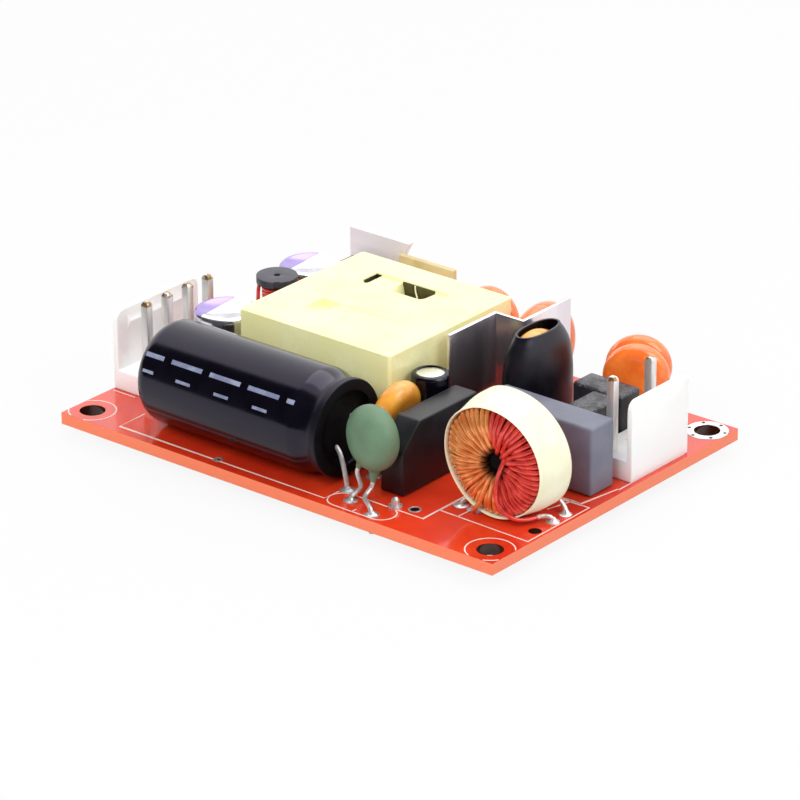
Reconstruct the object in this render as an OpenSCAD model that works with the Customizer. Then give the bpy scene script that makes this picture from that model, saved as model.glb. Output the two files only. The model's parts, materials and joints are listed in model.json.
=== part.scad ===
// Open frame power supply: a mains switching supply built on one circuit board. Its through-hole
// parts stand on the top face, the chip parts and the solder joints are underneath.
// Origin: centre of the mounting-hole pattern, on the underside of the board. +X points to the
// input header, +Z points away from the component side.

/* [Board] */
// Length of the board along X
board_length = 71.12; // [71:0.02:74]
// Width of the board along Y
board_width = 50.8; // [50.8:0.1:54]
// Thickness of the board
board_thickness = 1.6; // [1.2:0.1:1.6]
// Diameter of the four mounting holes
mounting_hole_d = 3.4; // [3:0.1:3.6]
// Mounting-hole spacing along X
hole_spacing_x = 65.68; // [65.2:0.04:66]
// Mounting-hole spacing along Y
hole_spacing_y = 44.8; // [44.4:0.1:45]
// Length that a clipped lead shows below the board
lead_stub = 1.6; // [1.3:0.1:2.5]

/* [Bulk capacitor] */
// Diameter over the sleeve of the lying bulk capacitor
bulk_d = 13.76; // [12.6:0.02:13.8]
// Length over the sleeve
bulk_length = 30.3; // [26:0.1:30.4]

/* [Transformer] */
// Size of the taped transformer, with its height above the board's underside
transformer_size = [25.15, 24.95, 15.1]; // [15:0.05:26]
// Thickness of its tape
tape_thickness = 0.3; // [0.2:0.05:0.4]
// Number of pins on each side
transformer_pins_per_side = 4; // [3:1:5]

/* [Common mode choke] */
// Turns on each half of the ring
choke_turns = 30; // [16:1:34]
// Outer radius of the windings
choke_radius = 7.1; // [6.6:0.05:7.1]
// Depth of the windings along the ring's axis
choke_depth = 6.4; // [5.8:0.1:6.4]

/* [Small cans] */
// Diameter of the two polymer capacitors
polymer_d = 8.6; // [8:0.1:8.8]
// Height of their tops above the board's underside
polymer_top = 12.8; // [10:0.1:13]
// Diameter of the small electrolytic capacitor
small_can_d = 5; // [4.8:0.1:5.2]
// Height of its top above the board's underside
small_can_top = 12.35; // [11:0.05:13]

/* [Film capacitor and rectifier] */
// Size of the film capacitor's case
film_size = [17.1, 4.75, 9.25]; // [4:0.05:18]
// Size of the bridge rectifier's body
rectifier_size = [3.6, 14.9, 9.3]; // [3:0.1:15]
// Length of the chamfer at its top corner
rectifier_chamfer = 3.4; // [2:0.1:4]

/* [Headers] */
// Pitch of the header pins
header_pitch = 3.96; // [3.94:0.01:3.96]
// Side of a square header pin
header_pin_side = 1.1; // [1:0.02:1.14]
// Height of a header's locking wall above the board's underside
header_wall_top = 12.6; // [10:0.1:13]

/* [Heatsinks] */
// Thickness of the folded heatsink plates
sheet_thickness = 1; // [0.8:0.1:1]
// Height of the folded heatsink above the board's underside
heatsink_top = 15.4; // [14.6:0.1:16]

/* [Coated discs] */
// Radius of a ceramic disc capacitor
disc_radius = 4.35; // [3.8:0.05:4.4]
// Thickness of a ceramic disc capacitor
disc_thickness = 3; // [2.4:0.1:3]
// Radius of the thermistor
thermistor_radius = 4.25; // [3.8:0.05:4.4]

/* [Hidden] */

$fn = 48;
top = board_thickness;
eps = 0.01;

// ---- Where things stand: [x, y] on the board, [x, y, z] for the middle of a body

// Clearance round a lead in its drilled hole
hole_clearance = 0.1;
// Radii of the common lead sizes
thin_lead = 0.25;
lead = 0.3;
thick_lead = 0.4;

bulk_axis = [-24, -17.64, 8.5];
bulk_pin_angle = 62;
bulk_pin_spread = 5.3;
bulk_pads = [[8.4, -20.2], [8.4, -15.1]];

transformer_centre = [-6.625, 3.625];
// Window over the winding, as its low and high corner along X
window_x = [-13.1, -0.9];
// Outer edges of the two windows and half the width of the strip between them, along Y
window_reach = 8.1;
window_strip = 3;
pin_rows_x = [-16.6, 3.2];
pin_pitch = 5;
transformer_pads = [
    for (x = pin_rows_x, i = [0:transformer_pins_per_side - 1])
        [x, transformer_centre.y + (i - (transformer_pins_per_side - 1) / 2) * pin_pitch],
];

drum_at = [-24.86, 5.23];
drum_top = 13.75;
drum_pads = [drum_at + [-1.95, -1.6], drum_at + [1.2, 1.6]];

polymer_at = [[-24.2, -5.6], [-25.5, 12.9]];
polymer_pads = [for (p = polymer_at, s = [-1, 1]) p + [0, 1.75 * s]];

output_pins_at = [-31.2, -7.37];
output_pads = [for (i = [0:3]) output_pins_at + [0, (i - 1.5) * header_pitch]];
input_pins_at = [30.3, 9.4];
input_pads = [for (s = [-1, 1]) input_pins_at + [0, s * header_pitch]];

thermistor_at = [12.4, -20, 9.8];
thermistor_azimuth = -17;
thermistor_pads = [[10.72, -22.37], [15.38, -23.83]];

y_capacitor_at = [8.4, -10.6, 9.3];
y_capacitor_lean = 16;
y_capacitor_radius = 3.9;
y_capacitor_pads = disc_pads(y_capacitor_at, 90, 5);

small_can_at = [8.8, -4.2];
small_pads = [for (s = [-1, 1]) small_can_at + [0, s]];

rectifier_corner = [11.75, -17.8, 1.7];
rectifier_pitch = 3.81;
rectifier_middle = [rectifier_corner.x + rectifier_size.x / 2, rectifier_corner.y + rectifier_size.y / 2];
rectifier_pads = [for (i = [0:3]) rectifier_middle + [0, (i - 1.5) * rectifier_pitch]];

test_pin_at = [16.3, -20.4];

choke_at = [28, -16.2, 9.12];
choke_pads = [[34, -11.43], [33.9, -8.73], [22.2, -14.8], [24, -14.85]];
choke_wire = 0.3;

film_corner = [16.5, -3.25, 1.7];
film_pads = [
    for (s = [-1, 1]) [film_corner.x + film_size.x / 2 + s * 7.5, film_corner.y + film_size.y / 2],
];

varistor_at = [15.5, 9.2];
varistor_pads = [for (s = [-1, 1]) varistor_at + [0, s * 2.5]];
varistor_lead_z = 5.5;

fuse_boxes = [[[20, 10.6], [27.9, 14.6]], [[23.7, 1.9], [27.7, 10.2]]];
fuse_z = [1.9, 9];
fuse_pads = [[21.45, 12.6], [26.45, 12.6], [25.7, 3.5], [25.7, 8.6]];

// Corners of the folded heatsink, along its inner face
fold_x = 7.9;
fold_y = 10.2;
leg_front_y = 0.8;
leg_step_x = 12.4;
leg_rear_y = 20.2;
heatsink_pads = [[7.4, 2.4], [11.9, 18.6]];

// Rear heatsink plate: its low and high X and its front face
rear_plate_x = [-25.5, -16.9];
rear_plate_y = 21;
rear_plate_top = 15.5;
rear_heatsink_pads = [[-24.4, 21.5], [-18, 21.5]];
diode_size = [7.6, 2.7, 9.2];
diode_z = 2.3;
diode_screw_z = 9.4;
diode_pads = [for (s = [-1, 0, 1]) [-21.2 + s * 2.29, rear_plate_y - 1.35]];
insulator_box = [[-15.9, 19.6, 1.6], [-6.7, 20.4, 14.3]];

disc_stations = [
    [[24, 18.9, 8.05], 33, 4.35, 3],
    [[22.1, 22, 7.8], 33, 4.35, 3],
    [[9.6, 17.6, 8.4], 90, 6.3, 3.4],
    [[-2.3, 22.3, 8], 0, 4.35, 3],
];
disc_pads_all = [for (d = disc_stations) each disc_pads(d[0], d[1], 5)];

controller_at = [-3, 1];
optocoupler_at = [-9, 19.2];
chip_stations = [
    [-2, 18, 0], [2, 18, 0], [-27, 18, 90], [-29.5, 9.6, 90], [-12, -12, 0], [-16, -12, 0],
    [3, -12.5, 90], [13.5, 2, 90], [10.5, 2, 90], [19, 6.5, 0], [-4, -12, 0], [6.5, -1, 90],
];
chip_size = [2, 1.25, 0.6];

// Every round lead that passes through the board: [x, y, radius]
ROUND_PADS = concat(
    with_radius(bulk_pads, thick_lead), with_radius(transformer_pads, 0.35),
    with_radius(drum_pads, thin_lead), with_radius(polymer_pads, lead),
    with_radius(thermistor_pads, lead), with_radius(y_capacitor_pads, lead),
    with_radius(small_pads, thin_lead), with_radius(rectifier_pads, thick_lead),
    with_radius([test_pin_at], 0.5), with_radius(choke_pads, choke_wire),
    with_radius(film_pads, lead), with_radius(varistor_pads, thick_lead),
    with_radius(fuse_pads, lead), with_radius(heatsink_pads, thick_lead),
    with_radius(rear_heatsink_pads, thick_lead), with_radius(diode_pads, 0.35),
    with_radius(disc_pads_all, lead)
);
SQUARE_PADS = concat(output_pads, input_pads);
MOUNTING_HOLES = [for (x = [-1, 1], y = [-1, 1]) [x * hole_spacing_x / 2, y * hole_spacing_y / 2]];
// Small plated holes with no lead in them: [x, y, radius]
FREE_HOLES = [[33.93, -14.92, 0.85], [18.6, -19.4, 0.6], [-10.1, -23.6, 0.3]];

// ---- Functions

function with_radius(points, r) = [for (p = points) [p.x, p.y, r]];

// The two lead positions of a disc, from its centre, its direction and its pitch
function disc_pads(centre, azimuth, pitch) =
    [for (s = [-1, 1]) [centre.x, centre.y] + s * pitch / 2 * [cos(azimuth), sin(azimuth)]];

function unit(v) = v / norm(v);

// Points of an arc about a centre, from one angle to another
function arc(centre, r, from, to, steps = 6) = [
    for (i = [0:steps])
        let (a = from + (to - from) * i / steps)
            centre + r * [cos(a), sin(a)],
];

// Points of a bend from a to b, pulled towards the corner p
function bend(a, p, b, steps = 3) = [
    for (i = [0:steps])
        let (t = i / steps)
            a * (1 - t) ^ 2 + p * 2 * t * (1 - t) + b * t ^ 2,
];

// A wire's route with each of its corners rounded
function route(points, radius) = let (last = len(points) - 1) concat(
    [points[0]],
    [
        for (i = [1:last - 1])
            let (
                p = points[i],
                before = points[i - 1] - p,
                after = points[i + 1] - p
            )
                each bend(
                    p + unit(before) * min(radius, 0.45 * norm(before)),
                    p,
                    p + unit(after) * min(radius, 0.45 * norm(after))
                ),
    ],
    [points[last]]
);

// Half section of a crimped can, as [radius, height] from its open rim to its closed end. crimp
// is [rim radius, groove height, groove depth, how much smaller the lip is than the body], and grow
// moves the whole outline outwards, for the sleeve that is shrunk over it.
function can_outline(r, length, fillet, crimp, grow = 0) =
    let (rim = crimp[0], groove_z = crimp[1], groove = crimp[2], lip = crimp[3])
        concat(
            [[0, -grow]],
            arc([r - lip - rim, rim], rim + grow, -90, 0, 4),
            [
                for (a = [0:30:180])
                    [r + grow - lip * (1 + cos(a)) / 2 - groove * sin(a), groove_z - 2 * groove * cos(a)],
            ],
            arc([r - fillet, length - fillet], fillet + grow, 0, 90),
            [[0, length + grow]]
        );

// Half section of a coated disc, thick in the middle and rounded at the rim
function disc_outline(r, thickness, steps = 10) = [
    for (i = [0:2 * steps])
        let (a = -90 + 90 * i / steps, c = abs(cos(a)), s = abs(sin(a)))
            [r * pow(c, 0.9), thickness / 2 * sign(a) * pow(s, 0.9)],
];

// ---- Shapes that several pieces share

// Round bar from one point to another
module bar(from, to, r1, r2) {
    d = to - from;
    translate(from) rotate([0, acos(d.z / norm(d)), atan2(d.y, d.x)])
        cylinder(h = norm(d), r1 = r1, r2 = r2);
}

// Round wire swept along a route. ref is any direction that the wire never runs along.
module wire(points, r, ref = [1, 0.1, 0.2], radius = 0.8, sides = 8) {
    path = route(points, radius);
    last = len(path) - 1;
    rings = [
        for (i = [0:last])
            let (
                t = unit(path[min(i + 1, last)] - path[max(i - 1, 0)]),
                u = unit(cross(ref, t)),
                v = cross(t, u)
            )
                for (k = [0:sides - 1])
                    path[i] + r * (u * cos(360 * k / sides) + v * sin(360 * k / sides)),
    ];
    walls = [
        for (i = [0:last - 1], k = [0:sides - 1])
            let (a = i * sides, b = a + sides, next = (k + 1) % sides)
                [a + k, b + k, b + next, a + next],
    ];
    start = [for (k = [0:sides - 1]) k];
    end = [for (k = [sides - 1:-1:0]) last * sides + k];
    polyhedron(points = rings, faces = concat([start], walls, [end]), convexity = 4);
}

// Straight leads from the clipped ends below the board up to height z
module straight_leads(pads, r, z) {
    for (p = pads) translate([p.x, p.y, -lead_stub]) cylinder(h = z + lead_stub, r = r, $fn = 24);
}

// Flat rectangle with rounded corners, centred on the origin
module rounded_square(size, r) {
    square([size.x - 2 * r, size.y], center = true);
    square([size.x, size.y - 2 * r], center = true);
    for (x = [-1, 1], y = [-1, 1]) translate([x * (size.x / 2 - r), y * (size.y / 2 - r)]) circle(r);
}

// Can with a recess for its bung, standing on its open end
module can(r, length, fillet, crimp, bung_r, bung_z) {
    difference() {
        rotate_extrude() polygon(can_outline(r, length, fillet, crimp));
        translate([0, 0, -eps]) cylinder(h = bung_z + eps, r = bung_r);
    }
}

// Sleeve shrunk over a can, open at both ends
module sleeve(r, length, fillet, crimp, thickness, low_opening, top_opening) {
    difference() {
        rotate_extrude() polygon(can_outline(r, length, fillet, crimp, thickness));
        rotate_extrude() polygon(can_outline(r, length, fillet, crimp));
        translate([0, 0, -1]) cylinder(h = 2, r = low_opening);
        translate([0, 0, length - 1]) cylinder(h = 2, r = top_opening);
    }
}

// Disc-shaped body standing on its rim, with its axis level unless it leans towards +X
module disc_body(centre, azimuth, r, thickness, lean = 0) {
    translate(centre) rotate([0, lean, 0]) rotate([90, 0, azimuth])
        rotate_extrude($fn = 64) polygon(disc_outline(r, thickness));
}

// Coated ceramic disc with the coating run down two straight leads
module coated_disc(centre, azimuth, r, thickness, leads_r, foot_z, lean = 0) {
    pads = disc_pads(centre, azimuth, 5);
    difference() {
        union() {
            disc_body(centre, azimuth, r, thickness, lean);
            for (p = pads)
                translate([p.x, p.y, foot_z])
                    cylinder(h = centre.z - foot_z - r / 4, r1 = leads_r + 0.15, r2 = thickness / 2 - 0.25);
        }
        straight_leads(pads, leads_r, centre.z);
    }
}

// ---- Board

module board() {
    color("tomato") difference() {
        translate([-board_length / 2, -board_width / 2, 0])
            cube([board_length, board_width, board_thickness]);
        for (p = MOUNTING_HOLES) board_hole(p, mounting_hole_d / 2);
        for (p = FREE_HOLES) board_hole(p, p[2]);
        for (p = ROUND_PADS) board_hole(p, p[2] + hole_clearance);
        for (p = SQUARE_PADS) board_hole(p, header_pin_side * sqrt(0.5) + 0.05);
        board_hole(input_pins_at, header_pin_side * sqrt(0.5) + 0.05);
    }
}

module board_hole(at, r) {
    translate([at.x, at.y, -1]) cylinder(h = board_thickness + 2, r = r);
}

// Solder cones under the board, and the fillets round the thermistor's leads on top of it
module solder_joints() {
    color("silver") {
        for (p = ROUND_PADS) solder_cone([p.x, p.y], p[2], 0.65) cylinder(h = 8, r = p[2], center = true);
        for (p = SQUARE_PADS)
            solder_cone(p, header_pin_side * 0.6, 0.8)
                cube([header_pin_side, header_pin_side, 8], center = true);
    }
}

module solder_cone(at, r, spread) {
    translate([at.x, at.y, 0]) difference() {
        mirror([0, 0, 1]) cylinder(h = 0.9, r1 = r + spread, r2 = r + 0.2);
        children();
    }
}

// ---- Bulk capacitor, lying along X with its leads towards +X

bulk_sleeve_thickness = 0.25;
bulk_r = bulk_d / 2 - bulk_sleeve_thickness;
bulk_can_length = bulk_length - 2 * bulk_sleeve_thickness;
bulk_fillet = 2;
bulk_crimp = [0.8, 3.95, 0.45, 0.5];
bulk_bung_r = bulk_r - 1.2;
bulk_bung_z = [0.7, 3.2];

module lay_bulk() {
    translate([bulk_axis.x + bulk_length - bulk_sleeve_thickness, bulk_axis.y, bulk_axis.z])
        rotate([0, -90, 0]) children();
}

// Where each lead leaves the bung
function bulk_exit(side) = [
    bulk_axis.x + bulk_length - bulk_sleeve_thickness - bulk_bung_z[0],
    bulk_axis.y + side * bulk_pin_spread / 2 * cos(bulk_pin_angle),
    bulk_axis.z + side * bulk_pin_spread / 2 * sin(bulk_pin_angle),
];

module bulk_can() {
    color("silver") lay_bulk()
        can(bulk_r, bulk_can_length, bulk_fillet, bulk_crimp, bulk_bung_r, bulk_bung_z[1]);
}

module bulk_sleeve() {
    color("#1b1b24") lay_bulk()
        sleeve(
            bulk_r, bulk_can_length, bulk_fillet, bulk_crimp, bulk_sleeve_thickness,
            bulk_bung_r - 0.3, bulk_r - bulk_fillet - 0.3
        );
}

module bulk_bung() {
    color("#101014") lay_bulk()
        translate([0, 0, bulk_bung_z[0]]) cylinder(h = bulk_bung_z[1] - bulk_bung_z[0], r = bulk_bung_r);
}

module bulk_leads() {
    color("silver") for (i = [0, 1]) {
        exit = bulk_exit(2 * i - 1);
        pad = bulk_pads[i];
        wire(
            [exit, exit + [1.6, 0, 0], [pad.x, pad.y, exit.z - 2.2], [pad.x, pad.y, -lead_stub]],
            thick_lead, [0.1, 1, 0.05], 1.2
        );
    }
}

// ---- Transformer: two E cores closed round a wound bobbin, wrapped in tape

tape_box = [transformer_size.x, transformer_size.y];
tape_low = 4;
core_low = 4.2;
core_top = transformer_size.z - tape_thickness;
core_half = tape_box / 2 - [tape_thickness, tape_thickness];
core_gap_x = (window_x[0] + window_x[1]) / 2;
flange = 0.8;
bobbin_low = top;
rail_margin = 1.9;
winding_middle_z = (core_low + core_top) / 2;
winding_half_height = 4.7;
winding_half_width = window_reach - 0.4;
winding_corner = 2.2;
centre_leg = [4, 4.4];
bobbin_wall = 0.6;

// One E core: side is -1 for the left half and 1 for the right half
module e_core(side) {
    cy = transformer_centre.y;
    outer_x = transformer_centre.x + side * core_half.x;
    back_x = side < 0 ? window_x[0] - flange : window_x[1] + flange;
    color("#2b2b2d") {
        along_x(outer_x, back_x, [cy - core_half.y, cy + core_half.y], [core_low, core_top]);
        for (s = [-1, 1]) {
            edges = [cy + s * window_reach, cy + s * core_half.y];
            along_x(back_x, core_gap_x, [min(edges), max(edges)], [core_low, core_top]);
        }
        along_x(
            back_x, core_gap_x, [cy - centre_leg.x / 2, cy + centre_leg.x / 2],
            [winding_middle_z - centre_leg.y / 2, winding_middle_z + centre_leg.y / 2]
        );
    }
}

// Block between two X values, given in either order
module along_x(a, b, y, z) {
    translate([min(a, b), y[0], z[0]]) cube([abs(b - a), y[1] - y[0], z[1] - z[0]]);
}

module transformer_core_left() { e_core(-1); }
module transformer_core_right() { e_core(1); }

module transformer_bobbin() {
    cy = transformer_centre.y;
    wy = centre_leg.x / 2 + bobbin_wall;
    wz = centre_leg.y / 2 + bobbin_wall;
    reach = window_reach - 0.1;
    color("#242424") difference() {
        union() {
            along_x(
                window_x[0], window_x[1],
                [cy - wy, cy + wy], [winding_middle_z - wz, winding_middle_z + wz]
            );
            along_x(window_x[0] - flange, window_x[0], [cy - reach, cy + reach], [bobbin_low, core_top]);
            along_x(window_x[1], window_x[1] + flange, [cy - reach, cy + reach], [bobbin_low, core_top]);
            for (i = [0, 1])
                along_x(
                    window_x[i], pin_rows_x[i] + (2 * i - 1) * rail_margin,
                    [cy - reach, cy + reach], [bobbin_low, core_low]
                );
        }
        along_x(
            window_x[0] - 2, window_x[1] + 2, [cy - centre_leg.x / 2, cy + centre_leg.x / 2],
            [winding_middle_z - centre_leg.y / 2, winding_middle_z + centre_leg.y / 2]
        );
        transformer_pins();
    }
}

module transformer_winding() {
    wy = centre_leg.x / 2 + bobbin_wall;
    wz = centre_leg.y / 2 + bobbin_wall;
    color("#e8e26a") translate([window_x[0], transformer_centre.y, winding_middle_z])
        rotate([90, 0, 90]) linear_extrude(window_x[1] - window_x[0]) difference() {
            rounded_square([2 * winding_half_width, 2 * winding_half_height], winding_corner);
            square([2 * wy, 2 * wz], center = true);
        }
}

module transformer_tape() {
    cy = transformer_centre.y;
    color("#eeea86") difference() {
        translate([transformer_centre.x, cy, tape_low])
            linear_extrude(transformer_size.z - tape_low) rounded_square(tape_box, 0.5);
        translate([transformer_centre.x, cy, 0])
            linear_extrude(core_top) square(2 * core_half, center = true);
        for (s = [-1, 1]) {
            edges = [cy + s * window_strip, cy + s * window_reach];
            along_x(window_x[0], window_x[1], [min(edges), max(edges)], [core_top - 1, core_top + 1]);
        }
    }
}

module transformer_pins() {
    color("silver") straight_leads(transformer_pads, 0.35, bobbin_low + 2);
}

// ---- Drum choke

drum_flange_r = 2.75;
drum_flange = 0.95;
drum_neck_r = 1.3;
drum_wire = 0.5;
drum_winding_z = [top + drum_flange, drum_top - drum_flange];

module drum_choke_core() {
    color("#4a4a50") translate([drum_at.x, drum_at.y, 0]) difference() {
        union() {
            translate([0, 0, top]) cylinder(h = drum_top - top, r = drum_neck_r);
            for (z = [top, drum_winding_z[1]])
                translate([0, 0, z]) cylinder(h = drum_flange, r = drum_flange_r);
        }
        translate([0, 0, drum_top - 0.7]) cylinder(h = 1, r = 0.45);
        rotate([0, 0, -50]) translate([drum_flange_r + 0.1, 0, drum_top])
            cube([0.8, 0.7, 3], center = true);
        for (p = drum_pads)
            translate([p.x - drum_at.x, p.y - drum_at.y, 0]) cylinder(h = 4, r = thin_lead + 0.05);
    }
}

// Side-by-side turns on the drum, as a scalloped profile
module drum_choke_winding() {
    turns = floor((drum_winding_z[1] - drum_winding_z[0]) / drum_wire);
    pitch = (drum_winding_z[1] - drum_winding_z[0]) / turns;
    outer = drum_neck_r + 0.55;
    color("crimson") translate([drum_at.x, drum_at.y, 0]) rotate_extrude()
        polygon(concat(
            [[drum_neck_r, drum_winding_z[0]]],
            [
                for (i = [0:turns - 1], a = [0:60:120])
                    [outer + pitch / 2 * sin(a), drum_winding_z[0] + pitch * (i + a / 180)],
            ],
            [[outer, drum_winding_z[1]], [drum_neck_r, drum_winding_z[1]]]
        ));
}

module drum_choke_leads() {
    color("crimson") {
        side = drum_pads[0];
        rear = drum_pads[1];
        wire([
            [side.x + 0.13, side.y + 0.11, drum_winding_z[1] - 0.1],
            [side.x, side.y, drum_winding_z[1] - 1.5], [side.x, side.y, -lead_stub],
        ], thin_lead, [1, -1, 0.1], 0.5);
        straight_leads([rear], thin_lead, drum_winding_z[0]);
    }
}

// ---- Polymer capacitors

polymer_low = top + 0.15;
polymer_r = polymer_d / 2;
polymer_bung_r = polymer_r - 0.7;
polymer_bung_top = top + 2;

module polymer_cans() {
    color("#dcdce2") for (p = polymer_at)
        translate([p.x, p.y, polymer_low])
            can(
                polymer_r, polymer_top - polymer_low, 0.6, [0.4, 1.9, 0.35, 0],
                polymer_bung_r, polymer_bung_top - polymer_low
            );
}

module polymer_bungs() {
    color("#303034") difference() {
        for (p = polymer_at)
            translate([p.x, p.y, top]) cylinder(h = polymer_bung_top - top, r = polymer_bung_r);
        straight_leads(polymer_pads, lead, polymer_bung_top - 0.4);
    }
}

module polymer_leads() {
    color("silver") straight_leads(polymer_pads, lead, polymer_bung_top - 0.4);
}

// ---- Headers: a base with square pins and a locking wall along its outer side

header_base_h = 2.7;
header_shoulder_z = 13.9;
header_tip = 0.4;

// Header base centred on its pin row. half is half its length, wall_side is the side of its wall.
module header_base(at, half, inner, outer, wall_side, bores) {
    wall = 0.8;
    ramp = 0.5;
    color("#f4f2ea") translate([at.x, at.y, 0]) turn_to(wall_side) difference() {
        union() {
            translate([-inner, -half, top]) cube([inner + outer, 2 * half, header_base_h]);
            translate([outer - wall, 0, 0]) rotate([90, 0, 90])
                linear_extrude(wall) polygon(header_wall(half));
            translate([outer, half - 2, 0]) rotate([90, 0, 0]) linear_extrude(2 * half - 4)
                polygon([
                    [-wall / 2, header_wall_top - 1], [-wall, header_wall_top - 1],
                    [-wall - ramp, header_wall_top - 1.9], [-wall, header_wall_top - 3.2],
                    [-wall / 2, header_wall_top - 3.2],
                ]);
        }
        for (y = bores) translate([0, y, 0]) cube([header_pin_side, header_pin_side, 12], center = true);
    }
}

// Turns the shape round by half a turn when side is negative
module turn_to(side) {
    rotate([0, 0, side < 0 ? 180 : 0]) children();
}

// Face of the locking wall, with round top corners
function header_wall(half) = let (r = 1.3) concat(
    [[-half, top + 0.4], [half, top + 0.4]],
    arc([half - r, header_wall_top - r], r, 0, 90),
    arc([-half + r, header_wall_top - r], r, 90, 180)
);

module header_pins(pads) {
    color("silver") for (p = pads) translate([p.x, p.y, -lead_stub]) {
        translate([-header_pin_side / 2, -header_pin_side / 2, 0])
            cube([header_pin_side, header_pin_side, header_shoulder_z + lead_stub]);
        translate([0, 0, header_shoulder_z + lead_stub]) rotate([0, 0, 45])
            cylinder(h = header_tip, r1 = header_pin_side * sqrt(0.5), r2 = 0.5, $fn = 4);
    }
}

module output_header_base() {
    pins = [for (p = output_pads) p.y - output_pins_at.y];
    header_base(output_pins_at, 2 * header_pitch, 2.6, 4.3, -1, pins);
}

module output_header_pins() { header_pins(output_pads); }

module input_header_base() {
    header_base(input_pins_at, 1.5 * header_pitch, 2.3, 4.6, 1, [for (i = [-1:1]) i * header_pitch]);
}

module input_header_pins() { header_pins(input_pads); }

// ---- Thermistor: a coated disc leaning on two kinked leads

thermistor_thickness = 4.6;
thermistor_feet = [[10, -20, 5], [12.7, -20.4, 4]];
thermistor_hips = [[10.6, -19.5, 7.2], [12.9, -20.1, 6.6]];

module thermistor_body() {
    color("#8fa39a") {
        disc_body(thermistor_at, thermistor_azimuth, thermistor_radius, thermistor_thickness);
        for (i = [0, 1]) bar(thermistor_feet[i], thermistor_hips[i], lead + 0.12, 1.1);
    }
}

module thermistor_leads() {
    kinks = [[[10.8, -20.2, 2.6], [10.72, -22.37, 2.1]], [[12.6, -22.3, 2.4], [15.38, -23.83, 2.2]]];
    color("silver") for (i = [0, 1]) {
        foot = thermistor_feet[i];
        pad = thermistor_pads[i];
        wire(
            concat(
                [foot, foot + 0.7 * unit(foot - thermistor_hips[i])], kinks[i], [[pad.x, pad.y, -lead_stub]]
            ),
            lead, [1, 0.45, 0.1], 0.7
        );
    }
}

// ---- Y capacitor between the bulk capacitor and the small can

module y_capacitor_body() {
    color("#f2a43c")
        coated_disc(y_capacitor_at, 90, y_capacitor_radius, disc_thickness, lead, 3, y_capacitor_lean);
}

module y_capacitor_leads() {
    color("silver") straight_leads(y_capacitor_pads, lead, y_capacitor_at.z - 2);
}

// ---- Small electrolytic capacitor

small_sleeve_thickness = 0.15;
small_r = small_can_d / 2 - small_sleeve_thickness;
small_low = top + small_sleeve_thickness;
small_length = small_can_top - small_sleeve_thickness - small_low;
small_bung_r = small_r - 0.5;
small_crimp = [0.3, 1.6, 0.25, 0];
small_bung_h = 1.6;

module small_can() {
    color("silver") translate([small_can_at.x, small_can_at.y, small_low]) difference() {
        can(small_r, small_length, 0.4, small_crimp, small_bung_r, small_bung_h);
        for (a = [0, 90])
            rotate([0, 0, a]) translate([0, 0, small_length]) cube([2.4, 0.15, 0.12], center = true);
    }
}

module small_sleeve() {
    color("#16161c") translate([small_can_at.x, small_can_at.y, small_low])
        sleeve(
            small_r, small_length, 0.4, small_crimp, small_sleeve_thickness,
            small_bung_r, small_r - 0.55
        );
}

module small_bung() {
    color("#202024") difference() {
        translate([small_can_at.x, small_can_at.y, small_low]) cylinder(h = small_bung_h, r = small_bung_r);
        straight_leads(small_pads, thin_lead, small_low + 1);
    }
}

module small_leads() {
    color("silver") straight_leads(small_pads, thin_lead, small_low + 1);
}

// ---- Bridge rectifier

module rectifier_body() {
    size = rectifier_size;
    color("#232327") translate(rectifier_corner) rotate([90, 0, 90]) linear_extrude(size.x)
        polygon([
            [0, 0], [size.y, 0], [size.y, size.z],
            [rectifier_chamfer, size.z], [0, size.z - rectifier_chamfer],
        ]);
}

module rectifier_leads() {
    color("silver") straight_leads(rectifier_pads, thick_lead, rectifier_corner.z);
}

// ---- Common mode choke: a ferrite ring with two fanned windings, held by a loose band of tape

choke_core_r = [3.6, 6.3];
choke_core_y = 1.2;
choke_hole_r = 1.9;
choke_split = 8;
choke_ridge = 0.25;
choke_tape_inset = 0.3;

// Local frame of the choke: ring axis along Z, front face up
module at_choke() {
    translate(choke_at) rotate([90, 0, 0]) mirror([0, 0, 1]) children();
}

// Half section of the windings, shrunk by inset at their outside
function winding_outline(inset) = let (
    r = 1.5,
    low = [choke_hole_r + inset + r, inset + r],
    high = [choke_radius - inset - r, choke_depth - inset - r]
) concat(
    arc(low, r, 180, 270, 4), arc([high.x, low.y], r, 270, 360, 4),
    arc(high, r, 0, 90, 4), arc([low.x, high.y], r, 90, 180, 4)
);

// One half of the windings, from one angle to another: turns that fan out as wedges, proud of the
// grooves between them
module fanned_winding(from, to) {
    pitch = (to - from) / choke_turns;
    at_choke() difference() {
        union() {
            rotate([0, 0, from]) rotate_extrude(angle = to - from) polygon(winding_outline(choke_ridge));
            for (i = [0:choke_turns - 1]) rotate([0, 0, from + (i + 0.1) * pitch])
                rotate_extrude(angle = 0.8 * pitch) polygon(winding_outline(0));
        }
        choke_ring();
    }
}

module choke_ring() {
    translate([0, 0, choke_core_y]) difference() {
        cylinder(h = choke_depth - 2 * choke_core_y, r = choke_core_r[1]);
        translate([0, 0, -1]) cylinder(h = choke_depth, r = choke_core_r[0]);
    }
}

module choke_core() {
    color("#3a3a3c") at_choke() choke_ring();
}

module choke_red_winding() { color("crimson") fanned_winding(-90 + choke_split, 90 - choke_split); }
module choke_copper_winding() { color("#e08a3c") fanned_winding(90 + choke_split, 270 - choke_split); }

// Band of tape: loose at its upper left, close to the turns below. Its reach is given every 30
// degrees, and runs smoothly in between.
tape_reach = [7.5, 7.45, 7.45, 7.6, 8.35, 8.3, 8.4, 8.05, 7.85, 7.4, 7.5, 7.6];
tape_steps = 4;
tape_film = 0.22;

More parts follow.
